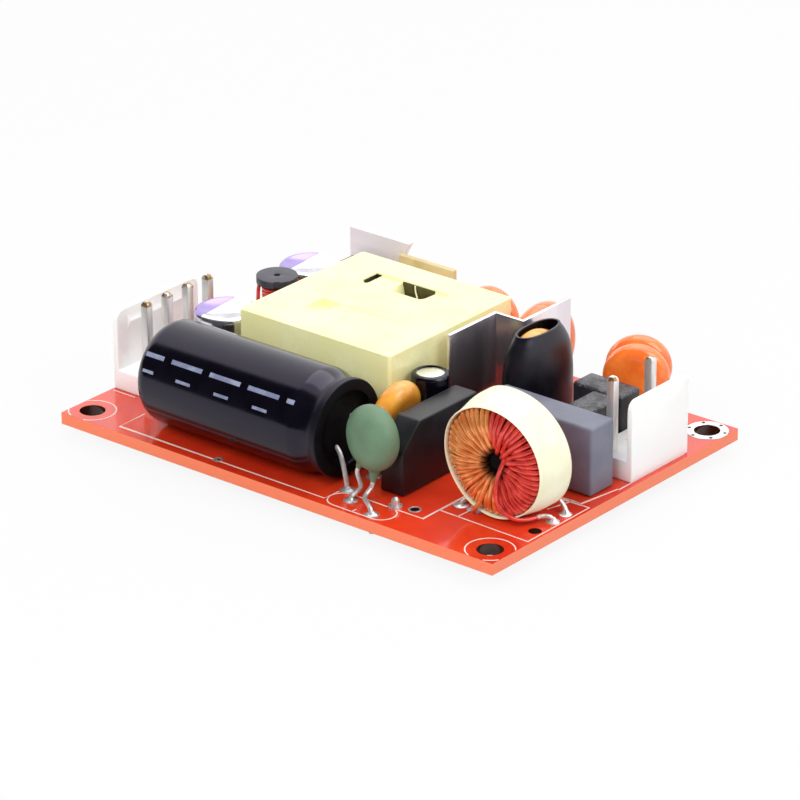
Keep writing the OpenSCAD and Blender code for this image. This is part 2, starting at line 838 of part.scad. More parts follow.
// Smooth curve through four values, between the middle two
function between(a, b, c, d, t) =
    (2 * b + (c - a) * t + (2 * a - 5 * b + 4 * c - d) * t ^ 2 + (3 * b - a - 3 * c + d) * t ^ 3) / 2;

function tape_outline(inset) = let (n = len(tape_reach)) [
    for (i = [0:n - 1], k = [0:tape_steps - 1])
        let (
            r = between(
                tape_reach[(i + n - 1) % n], tape_reach[i],
                tape_reach[(i + 1) % n], tape_reach[(i + 2) % n],
                k / tape_steps
            ) - inset,
            angle = 360 * (i + k / tape_steps) / n
        )
            r * [cos(angle), sin(angle)],
];

module choke_tape() {
    color("#f6eecb") at_choke() translate([0, 0, choke_tape_inset])
        linear_extrude(choke_depth - 2 * choke_tape_inset) difference() {
            polygon(tape_outline(0));
            polygon(tape_outline(tape_film));
        }
}

// Four leads; the front ones come down over the face of the turns
module choke_leads() {
    front = choke_at.y - choke_wire - 0.05;
    color("crimson") {
        wire([
            [28.3, front, 5.4], [28.7, front, 3.4], [29.9, front, 2.15], [31.3, -16.05, 1.95],
            [31.8, -13.4, 1.95], [33.2, -11.9, 2.1], [34, -11.43, 2], [34, -11.43, -lead_stub],
        ], choke_wire, [1, 1, 0.3], 0.7);
        wire([
            [30, -9.3, 3], [31.9, -7.9, 3], [33.1, -8.2, 2.4], [33.9, -8.73, 2.2],
            [33.9, -8.73, -lead_stub],
        ], choke_wire, [0.3, 1, 0.3], 0.7);
    }
    color("#e08a3c") {
        wire([
            [26.2, front, 3.6], [25.3, front, 2.2], [24.2, -16.3, 1.95], [24, -14.85, 1.95],
            [24, -14.85, -lead_stub],
        ], choke_wire, [1, 1, 0.3], 0.7);
        wire([
            [26, -9.3, 3], [23.4, -9.2, 2.1], [22.2, -14.8, 2], [22.2, -14.8, -lead_stub],
        ], choke_wire, [1, 0.1, 0.3], 0.7);
    }
}

// ---- Film capacitor

module film_case() {
    color("#8f8da3") translate(film_corner) cube(film_size);
}

module film_leads() {
    color("silver") straight_leads(film_pads, lead, film_corner.z);
}

// ---- Varistor in a heat-shrink sleeve

varistor_body_r = 5.2;
varistor_body_z = 9.8;
varistor_body_t = 2.6;
varistor_sleeve_wall = 0.35;
varistor_sleeve_low = 2;

// Half widths of the sleeve along X and Y, and the height of each section
sleeve_sections = [
    [2.7, 6.4, varistor_sleeve_low], [2.75, 6.45, 8.2], [2.6, 6.05, 12], [2.15, 4.9, 14.2], [1.8, 4, 15.6],
];

// Closed stack of ellipses, each wall thickness smaller all round
module sleeve_loft(wall, low, high) {
    sides = 40;
    sections = sleeve_sections;
    last = len(sections) - 1;
    rings = [
        for (i = [0:last])
            let (z = i == 0 ? sections[i].z - low : i == last ? sections[i].z + high : sections[i].z)
                for (k = [0:sides - 1])
                    [
                        varistor_at.x + (sections[i].x - wall) * cos(360 * k / sides),
                        varistor_at.y + (sections[i].y - wall) * sin(360 * k / sides),
                        z,
                    ],
    ];
    walls = [
        for (i = [0:last - 1], k = [0:sides - 1])
            let (a = i * sides, b = a + sides, next = (k + 1) % sides)
                [a + k, b + k, b + next, a + next],
    ];
    polyhedron(
        points = rings,
        faces = concat(
            [[for (k = [0:sides - 1]) k]], walls, [[for (k = [sides - 1:-1:0]) last * sides + k]]
        ),
        convexity = 4
    );
}

module varistor_sleeve() {
    color("#17171d") difference() {
        sleeve_loft(0, 0, 0);
        sleeve_loft(varistor_sleeve_wall, 1, 1);
    }
}

module varistor_disc() {
    centre = [varistor_at.x, varistor_at.y, varistor_body_z];
    color("#f08a3c") difference() {
        union() {
            disc_body(centre, 90, varistor_body_r, varistor_body_t);
            for (p = varistor_pads)
                translate([p.x, p.y, varistor_lead_z - 1.5])
                    cylinder(h = 2.5, r1 = thick_lead + 0.1, r2 = 0.7);
        }
        straight_leads(varistor_pads, thick_lead, varistor_lead_z + 1);
    }
}

module varistor_leads() {
    color("silver") straight_leads(varistor_pads, thick_lead, varistor_lead_z + 1);
}

// ---- Heatsinks and what is fastened to them

heatsink_low = top;

module heatsink() {
    t = sheet_thickness;
    height = heatsink_top - heatsink_low;
    color("#9a9aa2") {
        translate([0, 0, heatsink_low]) linear_extrude(height) {
            translate([fold_x - t, leg_front_y]) square([t, fold_y + t - leg_front_y]);
            translate([fold_x - t, fold_y]) square([leg_step_x - fold_x + t, t]);
            translate([leg_step_x - t, fold_y]) square([t, leg_rear_y - fold_y]);
        }
        straight_leads(heatsink_pads, thick_lead, heatsink_low + 0.5);
    }
}

// Plate with one corner flared outwards at the top
module rear_heatsink() {
    low = rear_plate_x[0];
    high = rear_plate_x[1];
    color("#c9c4c8") {
        difference() {
            translate([0, rear_plate_y + sheet_thickness, 0]) rotate([90, 0, 0])
                linear_extrude(sheet_thickness) polygon([
                    [low, top], [high, top], [high, rear_plate_top - 3], [high + 1.6, rear_plate_top],
                    [low, rear_plate_top],
                ]);
            translate([diode_pads[1].x, rear_plate_y - 1, diode_screw_z]) rotate([-90, 0, 0])
                cylinder(h = 4, r = 1.3);
        }
        straight_leads(rear_heatsink_pads, thick_lead, top + 0.5);
    }
}

diode_y = rear_plate_y - diode_size.y;

module diode_body() {
    x = diode_pads[1].x;
    color("#202024") difference() {
        translate([x - diode_size.x / 2, diode_y, diode_z]) cube(diode_size);
        translate([x, diode_y - 1, diode_screw_z]) rotate([-90, 0, 0]) cylinder(h = 6, r = 1.3);
        straight_leads(diode_pads, 0.35, diode_z + 1.5);
    }
}

module diode_leads() {
    color("silver") straight_leads(diode_pads, 0.35, diode_z + 1.5);
}

// Pan-head screw through the diode and the plate, with a nut behind
module diode_screw() {
    front = diode_y;
    back = rear_plate_y + sheet_thickness;
    color("silver") translate([diode_pads[1].x, 0, diode_screw_z]) rotate([-90, 0, 0]) difference() {
        union() {
            translate([0, 0, front - 0.5]) cylinder(h = back + 1.8 - front, r = 1.2);
            translate([0, 0, front - 1.2]) cylinder(h = 1.2, r = 1.9);
            translate([0, 0, back]) cylinder(h = 1, r = 2, $fn = 6);
        }
        translate([0, 0, front - 1.2]) cube([3, 0.5, 1], center = true);
    }
}

module insulator_strip() {
    low = insulator_box[0];
    high = insulator_box[1];
    color("#d9c48a") translate(low) cube(high - low);
}

// ---- Ceramic disc capacitors

module disc_capacitors() {
    color("#f07a30") for (d = disc_stations) coated_disc(d[0], d[1], d[2], d[3], lead, 3);
}

module disc_capacitor_leads() {
    color("silver") for (d = disc_stations)
        straight_leads(disc_pads(d[0], d[1], 5), lead, d[0].z - d[2] / 2);
}

// ---- Fuses and test pin

module fuse_bodies() {
    color("#2c2c30") for (f = fuse_boxes)
        translate([f[0].x, f[0].y, fuse_z[0]])
            cube([f[1].x - f[0].x, f[1].y - f[0].y, fuse_z[1] - fuse_z[0]]);
}

module fuse_leads() {
    color("silver") straight_leads(fuse_pads, lead, fuse_z[0]);
}

module test_pin() {
    color("silver") {
        straight_leads([test_pin_at], 0.5, top + 0.9);
        translate([test_pin_at.x, test_pin_at.y, top]) cylinder(h = 0.3, r = 0.9);
        translate([test_pin_at.x, test_pin_at.y, top + 0.9]) sphere(r = 0.5);
    }
}

// ---- Chip parts on the underside

module controller_chip() {
    color("#1d1d20") chip_package(controller_at, [5, 4, 1.3], 4);
}

module optocoupler() {
    color("#26262a") chip_package(optocoupler_at, [7, 4.4, 1.4], 2);
}

// Flat package with gull-wing legs along its two long sides
module chip_package(at, size, legs) {
    translate([at.x, at.y, 0]) {
        translate([-size.x / 2, -size.y / 2, -size.z]) cube([size.x, size.y, size.z]);
        for (i = [0:legs - 1], s = [-1, 1])
            translate([(i - (legs - 1) / 2) * 1.27 - 0.2, s > 0 ? size.y / 2 : -size.y / 2 - 0.9, -0.2])
                cube([0.4, 0.9, 0.2]);
    }
}

module chip_parts() {
    color("#8a6f58") for (c = chip_stations)
        translate([c.x, c.y, -chip_size.z / 2]) rotate([0, 0, c.z]) cube(chip_size, center = true);
}

board();
bulk_can();
bulk_sleeve();
bulk_bung();
bulk_leads();
transformer_core_left();
transformer_core_right();
transformer_bobbin();
transformer_winding();
transformer_tape();
transformer_pins();
drum_choke_core();
drum_choke_winding();
drum_choke_leads();
polymer_cans();
polymer_bungs();
polymer_leads();
output_header_base();
output_header_pins();
input_header_base();
input_header_pins();
thermistor_body();
thermistor_leads();
y_capacitor_body();
y_capacitor_leads();
small_can();
small_sleeve();
small_bung();
small_leads();
rectifier_body();
rectifier_leads();
choke_core();
choke_copper_winding();
choke_red_winding();
choke_tape();
choke_leads();
film_case();
film_leads();
varistor_sleeve();
varistor_disc();
varistor_leads();
heatsink();
rear_heatsink();
diode_body();
diode_leads();
diode_screw();
insulator_strip();
disc_capacitors();
disc_capacitor_leads();
fuse_bodies();
fuse_leads();
test_pin();
controller_chip();
optocoupler();
chip_parts();
solder_joints();
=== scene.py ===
"""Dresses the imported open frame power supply: materials, wound wire, coatings, print and solder.

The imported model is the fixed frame. Every piece made here is placed from it: positions come from
the boxes of the CAD nodes, and the few routes and print lines that have no node of their own are
given in millimetres in the frame's own axes.
"""

from __future__ import annotations

import json
import logging
import math
import random
from dataclasses import dataclass, field, replace
from enum import Enum
from typing import Iterable, Sequence

import bmesh
import bpy
from mathutils import Matrix, Vector

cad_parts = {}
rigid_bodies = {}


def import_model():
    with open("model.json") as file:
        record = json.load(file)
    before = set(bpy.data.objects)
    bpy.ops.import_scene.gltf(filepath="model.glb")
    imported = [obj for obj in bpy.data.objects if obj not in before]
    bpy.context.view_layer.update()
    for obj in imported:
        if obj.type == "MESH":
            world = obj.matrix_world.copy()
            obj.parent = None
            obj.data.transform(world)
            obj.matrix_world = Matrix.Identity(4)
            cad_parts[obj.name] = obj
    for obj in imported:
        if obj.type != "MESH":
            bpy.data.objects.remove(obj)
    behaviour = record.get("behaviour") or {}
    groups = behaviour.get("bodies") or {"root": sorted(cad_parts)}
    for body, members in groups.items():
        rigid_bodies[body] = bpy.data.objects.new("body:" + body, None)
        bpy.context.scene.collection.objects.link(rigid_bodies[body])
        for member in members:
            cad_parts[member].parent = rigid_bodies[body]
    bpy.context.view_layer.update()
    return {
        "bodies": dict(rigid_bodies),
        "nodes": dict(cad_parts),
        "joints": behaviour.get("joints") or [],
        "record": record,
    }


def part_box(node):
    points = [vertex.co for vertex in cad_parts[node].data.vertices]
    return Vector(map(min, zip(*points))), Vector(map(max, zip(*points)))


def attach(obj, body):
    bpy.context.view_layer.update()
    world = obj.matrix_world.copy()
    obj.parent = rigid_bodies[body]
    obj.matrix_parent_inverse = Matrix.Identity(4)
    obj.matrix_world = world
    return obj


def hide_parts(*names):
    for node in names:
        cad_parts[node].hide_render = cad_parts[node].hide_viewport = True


LOG = logging.getLogger("power_supply")
MM = 0.001
WELD = 1e-6
LEAD_END = -0.85
DISC_PITCH = 5.0

Colour = tuple[float, float, float]
Point = tuple[float, float, float]
Spot = tuple[float, float]


class Slot(Enum):
    """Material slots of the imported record."""

    BOARD = "board"
    BARE_ALUMINIUM = "bare_aluminium"
    BLACK_SLEEVE = "black_sleeve"
    BUNG_RUBBER = "bung_rubber"
    TINNED_WIRE = "tinned_wire"
    FERRITE = "ferrite"
    DRUM_FERRITE = "drum_ferrite"
    BOBBIN_PLASTIC = "bobbin_plastic"
    YELLOW_TAPE = "yellow_tape"
    RED_ENAMEL = "red_enamel"
    COPPER_ENAMEL = "copper_enamel"
    CREAM_TAPE = "cream_tape"
    HEADER_PLASTIC = "header_plastic"
    HEADER_PIN = "header_pin"
    THERMISTOR_COAT = "thermistor_coat"
    AMBER_COAT = "amber_coat"
    ORANGE_COAT = "orange_coat"
    BLACK_EPOXY = "black_epoxy"
    FILM_PLASTIC = "film_plastic"
    FUSE_PLASTIC = "fuse_plastic"
    HEATSINK_METAL = "heatsink_metal"
    REAR_PLATE = "rear_plate"
    ZINC_SCREW = "zinc_screw"
    BEIGE_BOARD = "beige_board"
    CHIP_BODY = "chip_body"
    SOLDER = "solder"


class Extra(Enum):
    """Materials of pieces whose finish isn't that of their slot."""

    INK = "ink"
    SLEEVE_INK = "sleeve_ink"
    BULK_SKIN = "bulk_skin"
    SHRUNK = "shrunk_sleeve"
    SHADE = "window_shade"
    RED_TAIL = "choke_red_tails"
    COPPER_TAIL = "choke_copper_tails"


# ---------------------------------------------------------------------------------------------
# Shader maths


class Tree:
    """A node tree whose nodes are all added by one method."""

    def __init__(self, tree: bpy.types.NodeTree) -> None:
        """Wraps a tree."""
        self.tree = tree

    def node(
        self,
        kind: str,
        settings: dict[str, object] | None = None,
        inputs: dict[int | str, object] | None = None,
    ) -> bpy.types.Node:
        """Adds a node.

        Args:
            kind: type name of the node.
            settings: properties, set first.
            inputs: value, socket or signal of each input, by name or number.

        Returns:
            The node.
        """
        node = self.tree.nodes.new(kind)
        for key, value in (settings or {}).items():
            setattr(node, key, value)
        for key, value in (inputs or {}).items():
            self.feed(node.inputs[key], value)
        return node

    def feed(self, socket: bpy.types.NodeSocket, value: object) -> None:
        """Links a socket or signal to an input, or sets the input's own value."""
        source = getattr(value, "socket", value)
        if isinstance(source, bpy.types.NodeSocket):
            self.tree.links.new(source, socket)
        elif socket.type == "RGBA":
            socket.default_value = (*value, 1.0)
        else:
            socket.default_value = value


class Signal:
    """A value or colour that flows between shader nodes, with arithmetic on it."""

    def __init__(self, graph: "Graph", socket: bpy.types.NodeSocket) -> None:
        """Wraps an output socket.

        Args:
            graph: the graph that new nodes are added to.
            socket: the output socket.
        """
        self.graph = graph
        self.socket = socket

    def _math(self, operation: str, *values: "Signal | float") -> "Signal":
        """Adds one Math node over some values."""
        node = self.graph.node("ShaderNodeMath", {"operation": operation}, dict(enumerate(values)))
        return Signal(self.graph, node.outputs[0])

    def __add__(self, other: "Signal | float") -> "Signal":
        """Gives self + other."""
        return self._math("ADD", self, other)

    def __radd__(self, other: float) -> "Signal":
        """Gives other + self."""
        return self._math("ADD", other, self)

    def __sub__(self, other: "Signal | float") -> "Signal":
        """Gives self - other."""
        return self._math("SUBTRACT", self, other)

    def __rsub__(self, other: float) -> "Signal":
        """Gives other - self."""
        return self._math("SUBTRACT", other, self)

    def __mul__(self, other: "Signal | float") -> "Signal":
        """Gives self * other."""
        return self._math("MULTIPLY", self, other)

    def __rmul__(self, other: float) -> "Signal":
        """Gives other * self."""
        return self._math("MULTIPLY", other, self)

    def larger(self, other: "Signal | float") -> "Signal":
        """Gives the larger of two values."""
        return self._math("MAXIMUM", self, other)

    def root(self) -> "Signal":
        """Gives the square root."""
        return self._math("SQRT", self)

    def __abs__(self) -> "Signal":
        """Gives the value without its sign."""
        return self._math("ABSOLUTE", self)

    def __gt__(self, limit: "Signal | float") -> "Signal":
        """Gives 1 where the value is above the limit, and 0 elsewhere."""
        return self._math("GREATER_THAN", self, limit)

    def __lt__(self, limit: "Signal | float") -> "Signal":
        """Gives 1 where the value is below the limit, and 0 elsewhere."""
        return self._math("LESS_THAN", self, limit)

    def remap(self, low: float, high: float, to_low: float = 0.0, to_high: float = 1.0) -> "Signal":
        """Maps one range to another, smoothly and clamped.

        Args:
            low: value that becomes to_low.
            high: value that becomes to_high.
            to_low: result at low.
            to_high: result at high.

        Returns:
            The mapped signal.
        """
        node = self.graph.node(
            "ShaderNodeMapRange", {"interpolation_type": "SMOOTHSTEP"},
            dict(enumerate((self, low, high, to_low, to_high))),
        )
        return Signal(self.graph, node.outputs[0])

    def mix(self, low: "Signal | Colour", high: "Signal | Colour") -> "Signal":
        """Blends two colours by this value.

        Args:
            low: colour where the value is 0.
            high: colour where the value is 1.

        Returns:
            The blended colour.
        """
        node = self.graph.node("ShaderNodeMix", {"data_type": "RGBA"}, {0: self, 6: low, 7: high})
        return Signal(self.graph, node.outputs[2])


class Graph(Tree):
    """The node tree of one material or of the world."""

    def __init__(self, tree: bpy.types.NodeTree, coordinates: str = "Object") -> None:
        """Finds the tree's shader and its coordinates.

        Args:
            tree: a tree with one shader and its output.
            coordinates: which texture coordinates the patterns lie in.
        """
        super().__init__(tree)
        self.shader = next(node for node in tree.nodes if node.type in ("BSDF_PRINCIPLED", "BACKGROUND"))
        self.position = Signal(self, self.node("ShaderNodeTexCoord").outputs[coordinates])

    def ray(self, kind: str) -> Signal:
        """Gives 1 for one kind of ray, and 0 for the others."""
        return Signal(self, self.node("ShaderNodeLightPath").outputs[f"Is {kind} Ray"])

    def axis(self, index: int, unit: float = MM) -> Signal:
        """Gives one coordinate of the point, in millimetres unless another unit is given."""
        split = self.node("ShaderNodeSeparateXYZ", inputs={0: self.position})
        return Signal(self, split.outputs[index]) * (1 / unit)

    def noise(self, size_mm: float, detail: float = 3.0, stretch: Point = (1, 1, 1)) -> Signal:
        """Fractal noise over the object's own coordinates.

        Args:
            size_mm: size of a typical feature.
            detail: number of octaves.
            stretch: scale of the pattern along each axis.

        Returns:
            Noise between 0 and 1.
        """
        mapping = self.node("ShaderNodeMapping", inputs={"Vector": self.position, "Scale": stretch})
        node = self.node("ShaderNodeTexNoise", inputs={
            "Vector": mapping.outputs[0], "Scale": 1 / (size_mm * MM), "Detail": detail,
        })
        return Signal(self, node.outputs["Fac"])

    def set(self, **inputs: "Signal | float | Colour") -> "Graph":
        """Sets inputs of the shader by name, with underscores for spaces.

        Args:
            inputs: values or signals, such as Base_Color=(1, 0, 0).

        Returns:
            This graph.
        """
        for name, value in inputs.items():
            self.feed(self.shader.inputs[name.replace("_", " ")], value)
        return self

    def bump(self, height: Signal, depth_mm: float) -> "Graph":
        """Roughens the surface by a height signal.

        Args:
            height: height between 0 and 1.
            depth_mm: height of a full step.

        Returns:
            This graph.
        """
        node = self.node("ShaderNodeBump", inputs={"Distance": depth_mm * MM, "Height": height})
        return self.set(Normal=Signal(self, node.outputs[0]))


def material_graph(name: str) -> tuple[bpy.types.Material, Graph]:
    """Starts a material with one Principled shader.

    Args:
        name: name of the material.

    Returns:
        The material and its graph.
    """
    material = bpy.data.materials.new(name)
    material.use_nodes = True
    return material, Graph(material.node_tree)


@dataclass(frozen=True)
class Finish:
    """How one surface looks.

    Attributes:
        dark: colour in the darker patches.
        light: colour in the lighter patches.
        roughness: lowest and highest roughness.
        metallic: 1 for bare metal.
        patch_mm: size of the patches.
        grain_mm: size of the bump's grain.
        grain_depth_mm: depth of the bump.
        stretch: scale of the patches and grain along each axis.
        coat: weight of a clear coat.
        coat_roughness: roughness of that coat.
        subsurface: weight of light scattered inside.
        subsurface_mm: reach of that light.
        specular: specular level of the base.
        tint: colour of the base's reflections.
    """

    dark: Colour
    light: Colour
    roughness: tuple[float, float]
    metallic: float = 0.0
    patch_mm: float = 3.0
    grain_mm: float = 0.3
    grain_depth_mm: float = 0.01
    stretch: Point = (1, 1, 1)
    coat: float = 0.0
    coat_roughness: float = 0.05
    subsurface: float = 0.0
    subsurface_mm: float = 1.0
    specular: float = 0.5
    tint: Colour = (1, 1, 1)

    def build(self, name: str) -> bpy.types.Material:
        """Makes the material.

        Args:
            name: name of the material.

        Returns:
            The material.
        """
        material, graph = material_graph(name)
        patches = graph.noise(self.patch_mm, 4.0, self.stretch)
        graph.set(
            Base_Color=self.colour(graph, patches.remap(0.35, 0.65).mix(self.dark, self.light)),
            Roughness=self.polish(graph, patches),
            Metallic=self.metallic,
            Coat_Weight=self.varnish_and_shade_plug(graph),
            Coat_Roughness=self.coat_roughness,
            Subsurface_Weight=self.subsurface,
            Subsurface_Scale=self.subsurface_mm * MM,
            Specular_IOR_Level=self.specular,
            Specular_Tint=self.tint,
        )
        graph.bump(graph.noise(self.grain_mm, 4.0, self.stretch), self.grain_depth_mm)
        return material

    def colour(self, graph: Graph, ground: Signal) -> Signal:
        """Adds what lies over the ground colour.

        Args:
            graph: the material's graph.
            ground: colour of the plain surface.

        Returns:
            The colour that shows.
        """
        return ground

    def varnish_and_shade_plug(self, graph: Graph) -> "Signal | float":
        """Gives the weight of the clear coat in the graph's material."""
        return self.coat

    def polish(self, graph: Graph, patches: Signal) -> Signal:
        """Gives the roughness in the graph's material, from its patches."""
        return patches.remap(0.3, 0.7, *self.roughness)


@dataclass(frozen=True)
class SkinFinish(Finish):
    """Glossy sleeve that is dull where it is drawn over the rolled end.

    Attributes:
        end_mm: X where it starts to dull and where it is fully dull.
        dull: roughness added there.
    """

    end_mm: tuple[float, float] = (3.9, 5.6)
    dull: float = 0.34

    def polish(self, graph: Graph, patches: Signal) -> Signal:
        """Dulls the end."""
        return super().polish(graph, patches) + graph.axis(0).remap(*self.end_mm) * self.dull


@dataclass(frozen=True)
class WoundFinish(Finish):
    """Enamelled wire that grows dull down the bore of the common mode choke, where painted shade darkens its
    colour.

    Attributes:
        axis_mm: X and Z of the axis of the choke's ring.
        bore_mm: distances from that axis where the painted shade is full and where it has faded out.
        bore_shade: painted shade colour down the bore, standing for the bore's shadow.
    """

    axis_mm: tuple[float, float] = (28.0, 9.12)
    bore_mm: tuple[float, float] = (1.1, 2.6)
    # painted shade: the colour laid on the wire down the bore, where its shadow falls
    bore_shade: Colour = (0.012, 0.002, 0.001)

    def unshaded_share(self, graph: Graph) -> Signal:
        """Gives 0 where the bore's painted shade is full and 1 away from it."""
        across = graph.axis(0) - self.axis_mm[0]
        up = graph.axis(2) - self.axis_mm[1]
        return (across * across + up * up).root().remap(*self.bore_mm)

    def colour(self, graph: Graph, ground: Signal) -> Signal:
        """Paints shade on the wire down the bore."""
        return self.unshaded_share(graph).mix(self.bore_shade, ground)

    def varnish_and_shade_plug(self, graph: Graph) -> Signal:
        """Dulls the coat down the bore."""
        return self.unshaded_share(graph) * self.coat


@dataclass(frozen=True)
class BoardFinish(Finish):
    """Lacquered board with paler laminate on its cut edges and painted shade on the walls of its holes.

    Attributes:
        edge: colour of the cut edges.
        wall: painted shade colour inside the drilled holes, standing for their shadow.
        half: half length and half width of the board, in millimetres.
        thickness_mm: thickness of the board.
    """

    edge: Colour = (0.92, 0.205, 0.085)
    wall: Colour = (0.045, 0.012, 0.007)
    half: Spot = (35.56, 25.4)
    thickness_mm: float = 1.6

    def colour(self, graph: Graph, ground: Signal) -> Signal:
        """Colours whatever isn't one of the two lacquered faces, with painted shade in the holes."""
        past_x, past_y = (abs(graph.axis(i)) - (self.half[i] - 0.1) for i in (0, 1))
        # Cut faces inside the board's outline are hole walls and get the painted shade colour.
        cut = (past_x.larger(past_y) > 0.0).mix(self.wall, self.edge)
        off_middle = abs(graph.axis(2) - self.thickness_mm / 2)
        return (off_middle < self.thickness_mm / 2 - 0.02).mix(ground, cut)


@dataclass(frozen=True)
class ScuffAndSheenFinish(Finish):
    """Surface whose level top is paler in patches: scuffs, with a painted sheen for the light on the top.

    Attributes:
        scuff_and_sheen: colour of the pale patches, scuffs and painted sheen.
        top_mm: height above which they lie.
    """

    scuff_and_sheen: Colour = (0.15, 0.15, 0.17)
    top_mm: float = 8.65

    def colour(self, graph: Graph, ground: Signal) -> Signal:
        """Paints the pale patches, scuffs and sheen, on the top."""
        # The pale patches lighten the whole top: partly scuffs, partly a painted sheen.
        scuff_and_sheen_patches = graph.noise(0.22, 5.0).remap(0.40, 0.62) * graph.noise(1.6, 2.0).remap(0.35, 0.55)
        return (scuff_and_sheen_patches * (graph.axis(2) > self.top_mm)).mix(ground, self.scuff_and_sheen)


@dataclass(frozen=True)
class TippedFinish(Finish):
    """Plated wire whose sheared tips show a warmer metal in places.

    Attributes:
        tip: colour of the bare metal.
        tip_mm: heights between which it sets in.
    """

    tip: Colour = (0.36, 0.22, 0.10)
    tip_mm: Spot = (13.67, 13.83)

    def colour(self, graph: Graph, ground: Signal) -> Signal:
        """Puts the warmer metal on the tips."""
        sheared = graph.noise(0.9, 1.0).remap(0.42, 0.52)
        return (graph.axis(2).remap(*self.tip_mm) * sheared).mix(ground, self.tip)


@dataclass(frozen=True)
class MarkedCanFinish(Finish):
    """Aluminium cans whose tops carry a printed half moon on one side.

    Attributes:
        mark: colour of the print.
        top_mm: height above which it lies.
        edge_mm: X of the print's straight edge in the plane Y = 0.
        lean: how far that edge moves towards -X for each millimetre along Y.
    """

    mark: Colour = (0.36, 0.28, 0.60)
    top_mm: float = 12.35
    edge_mm: float = -25.792
    lean: float = 0.07

    def colour(self, graph: Graph, ground: Signal) -> Signal:
        """Prints the half moons."""
        across = graph.axis(0) + graph.axis(1) * self.lean
        return ((across < self.edge_mm) * (graph.axis(2) > self.top_mm)).mix(ground, self.mark)


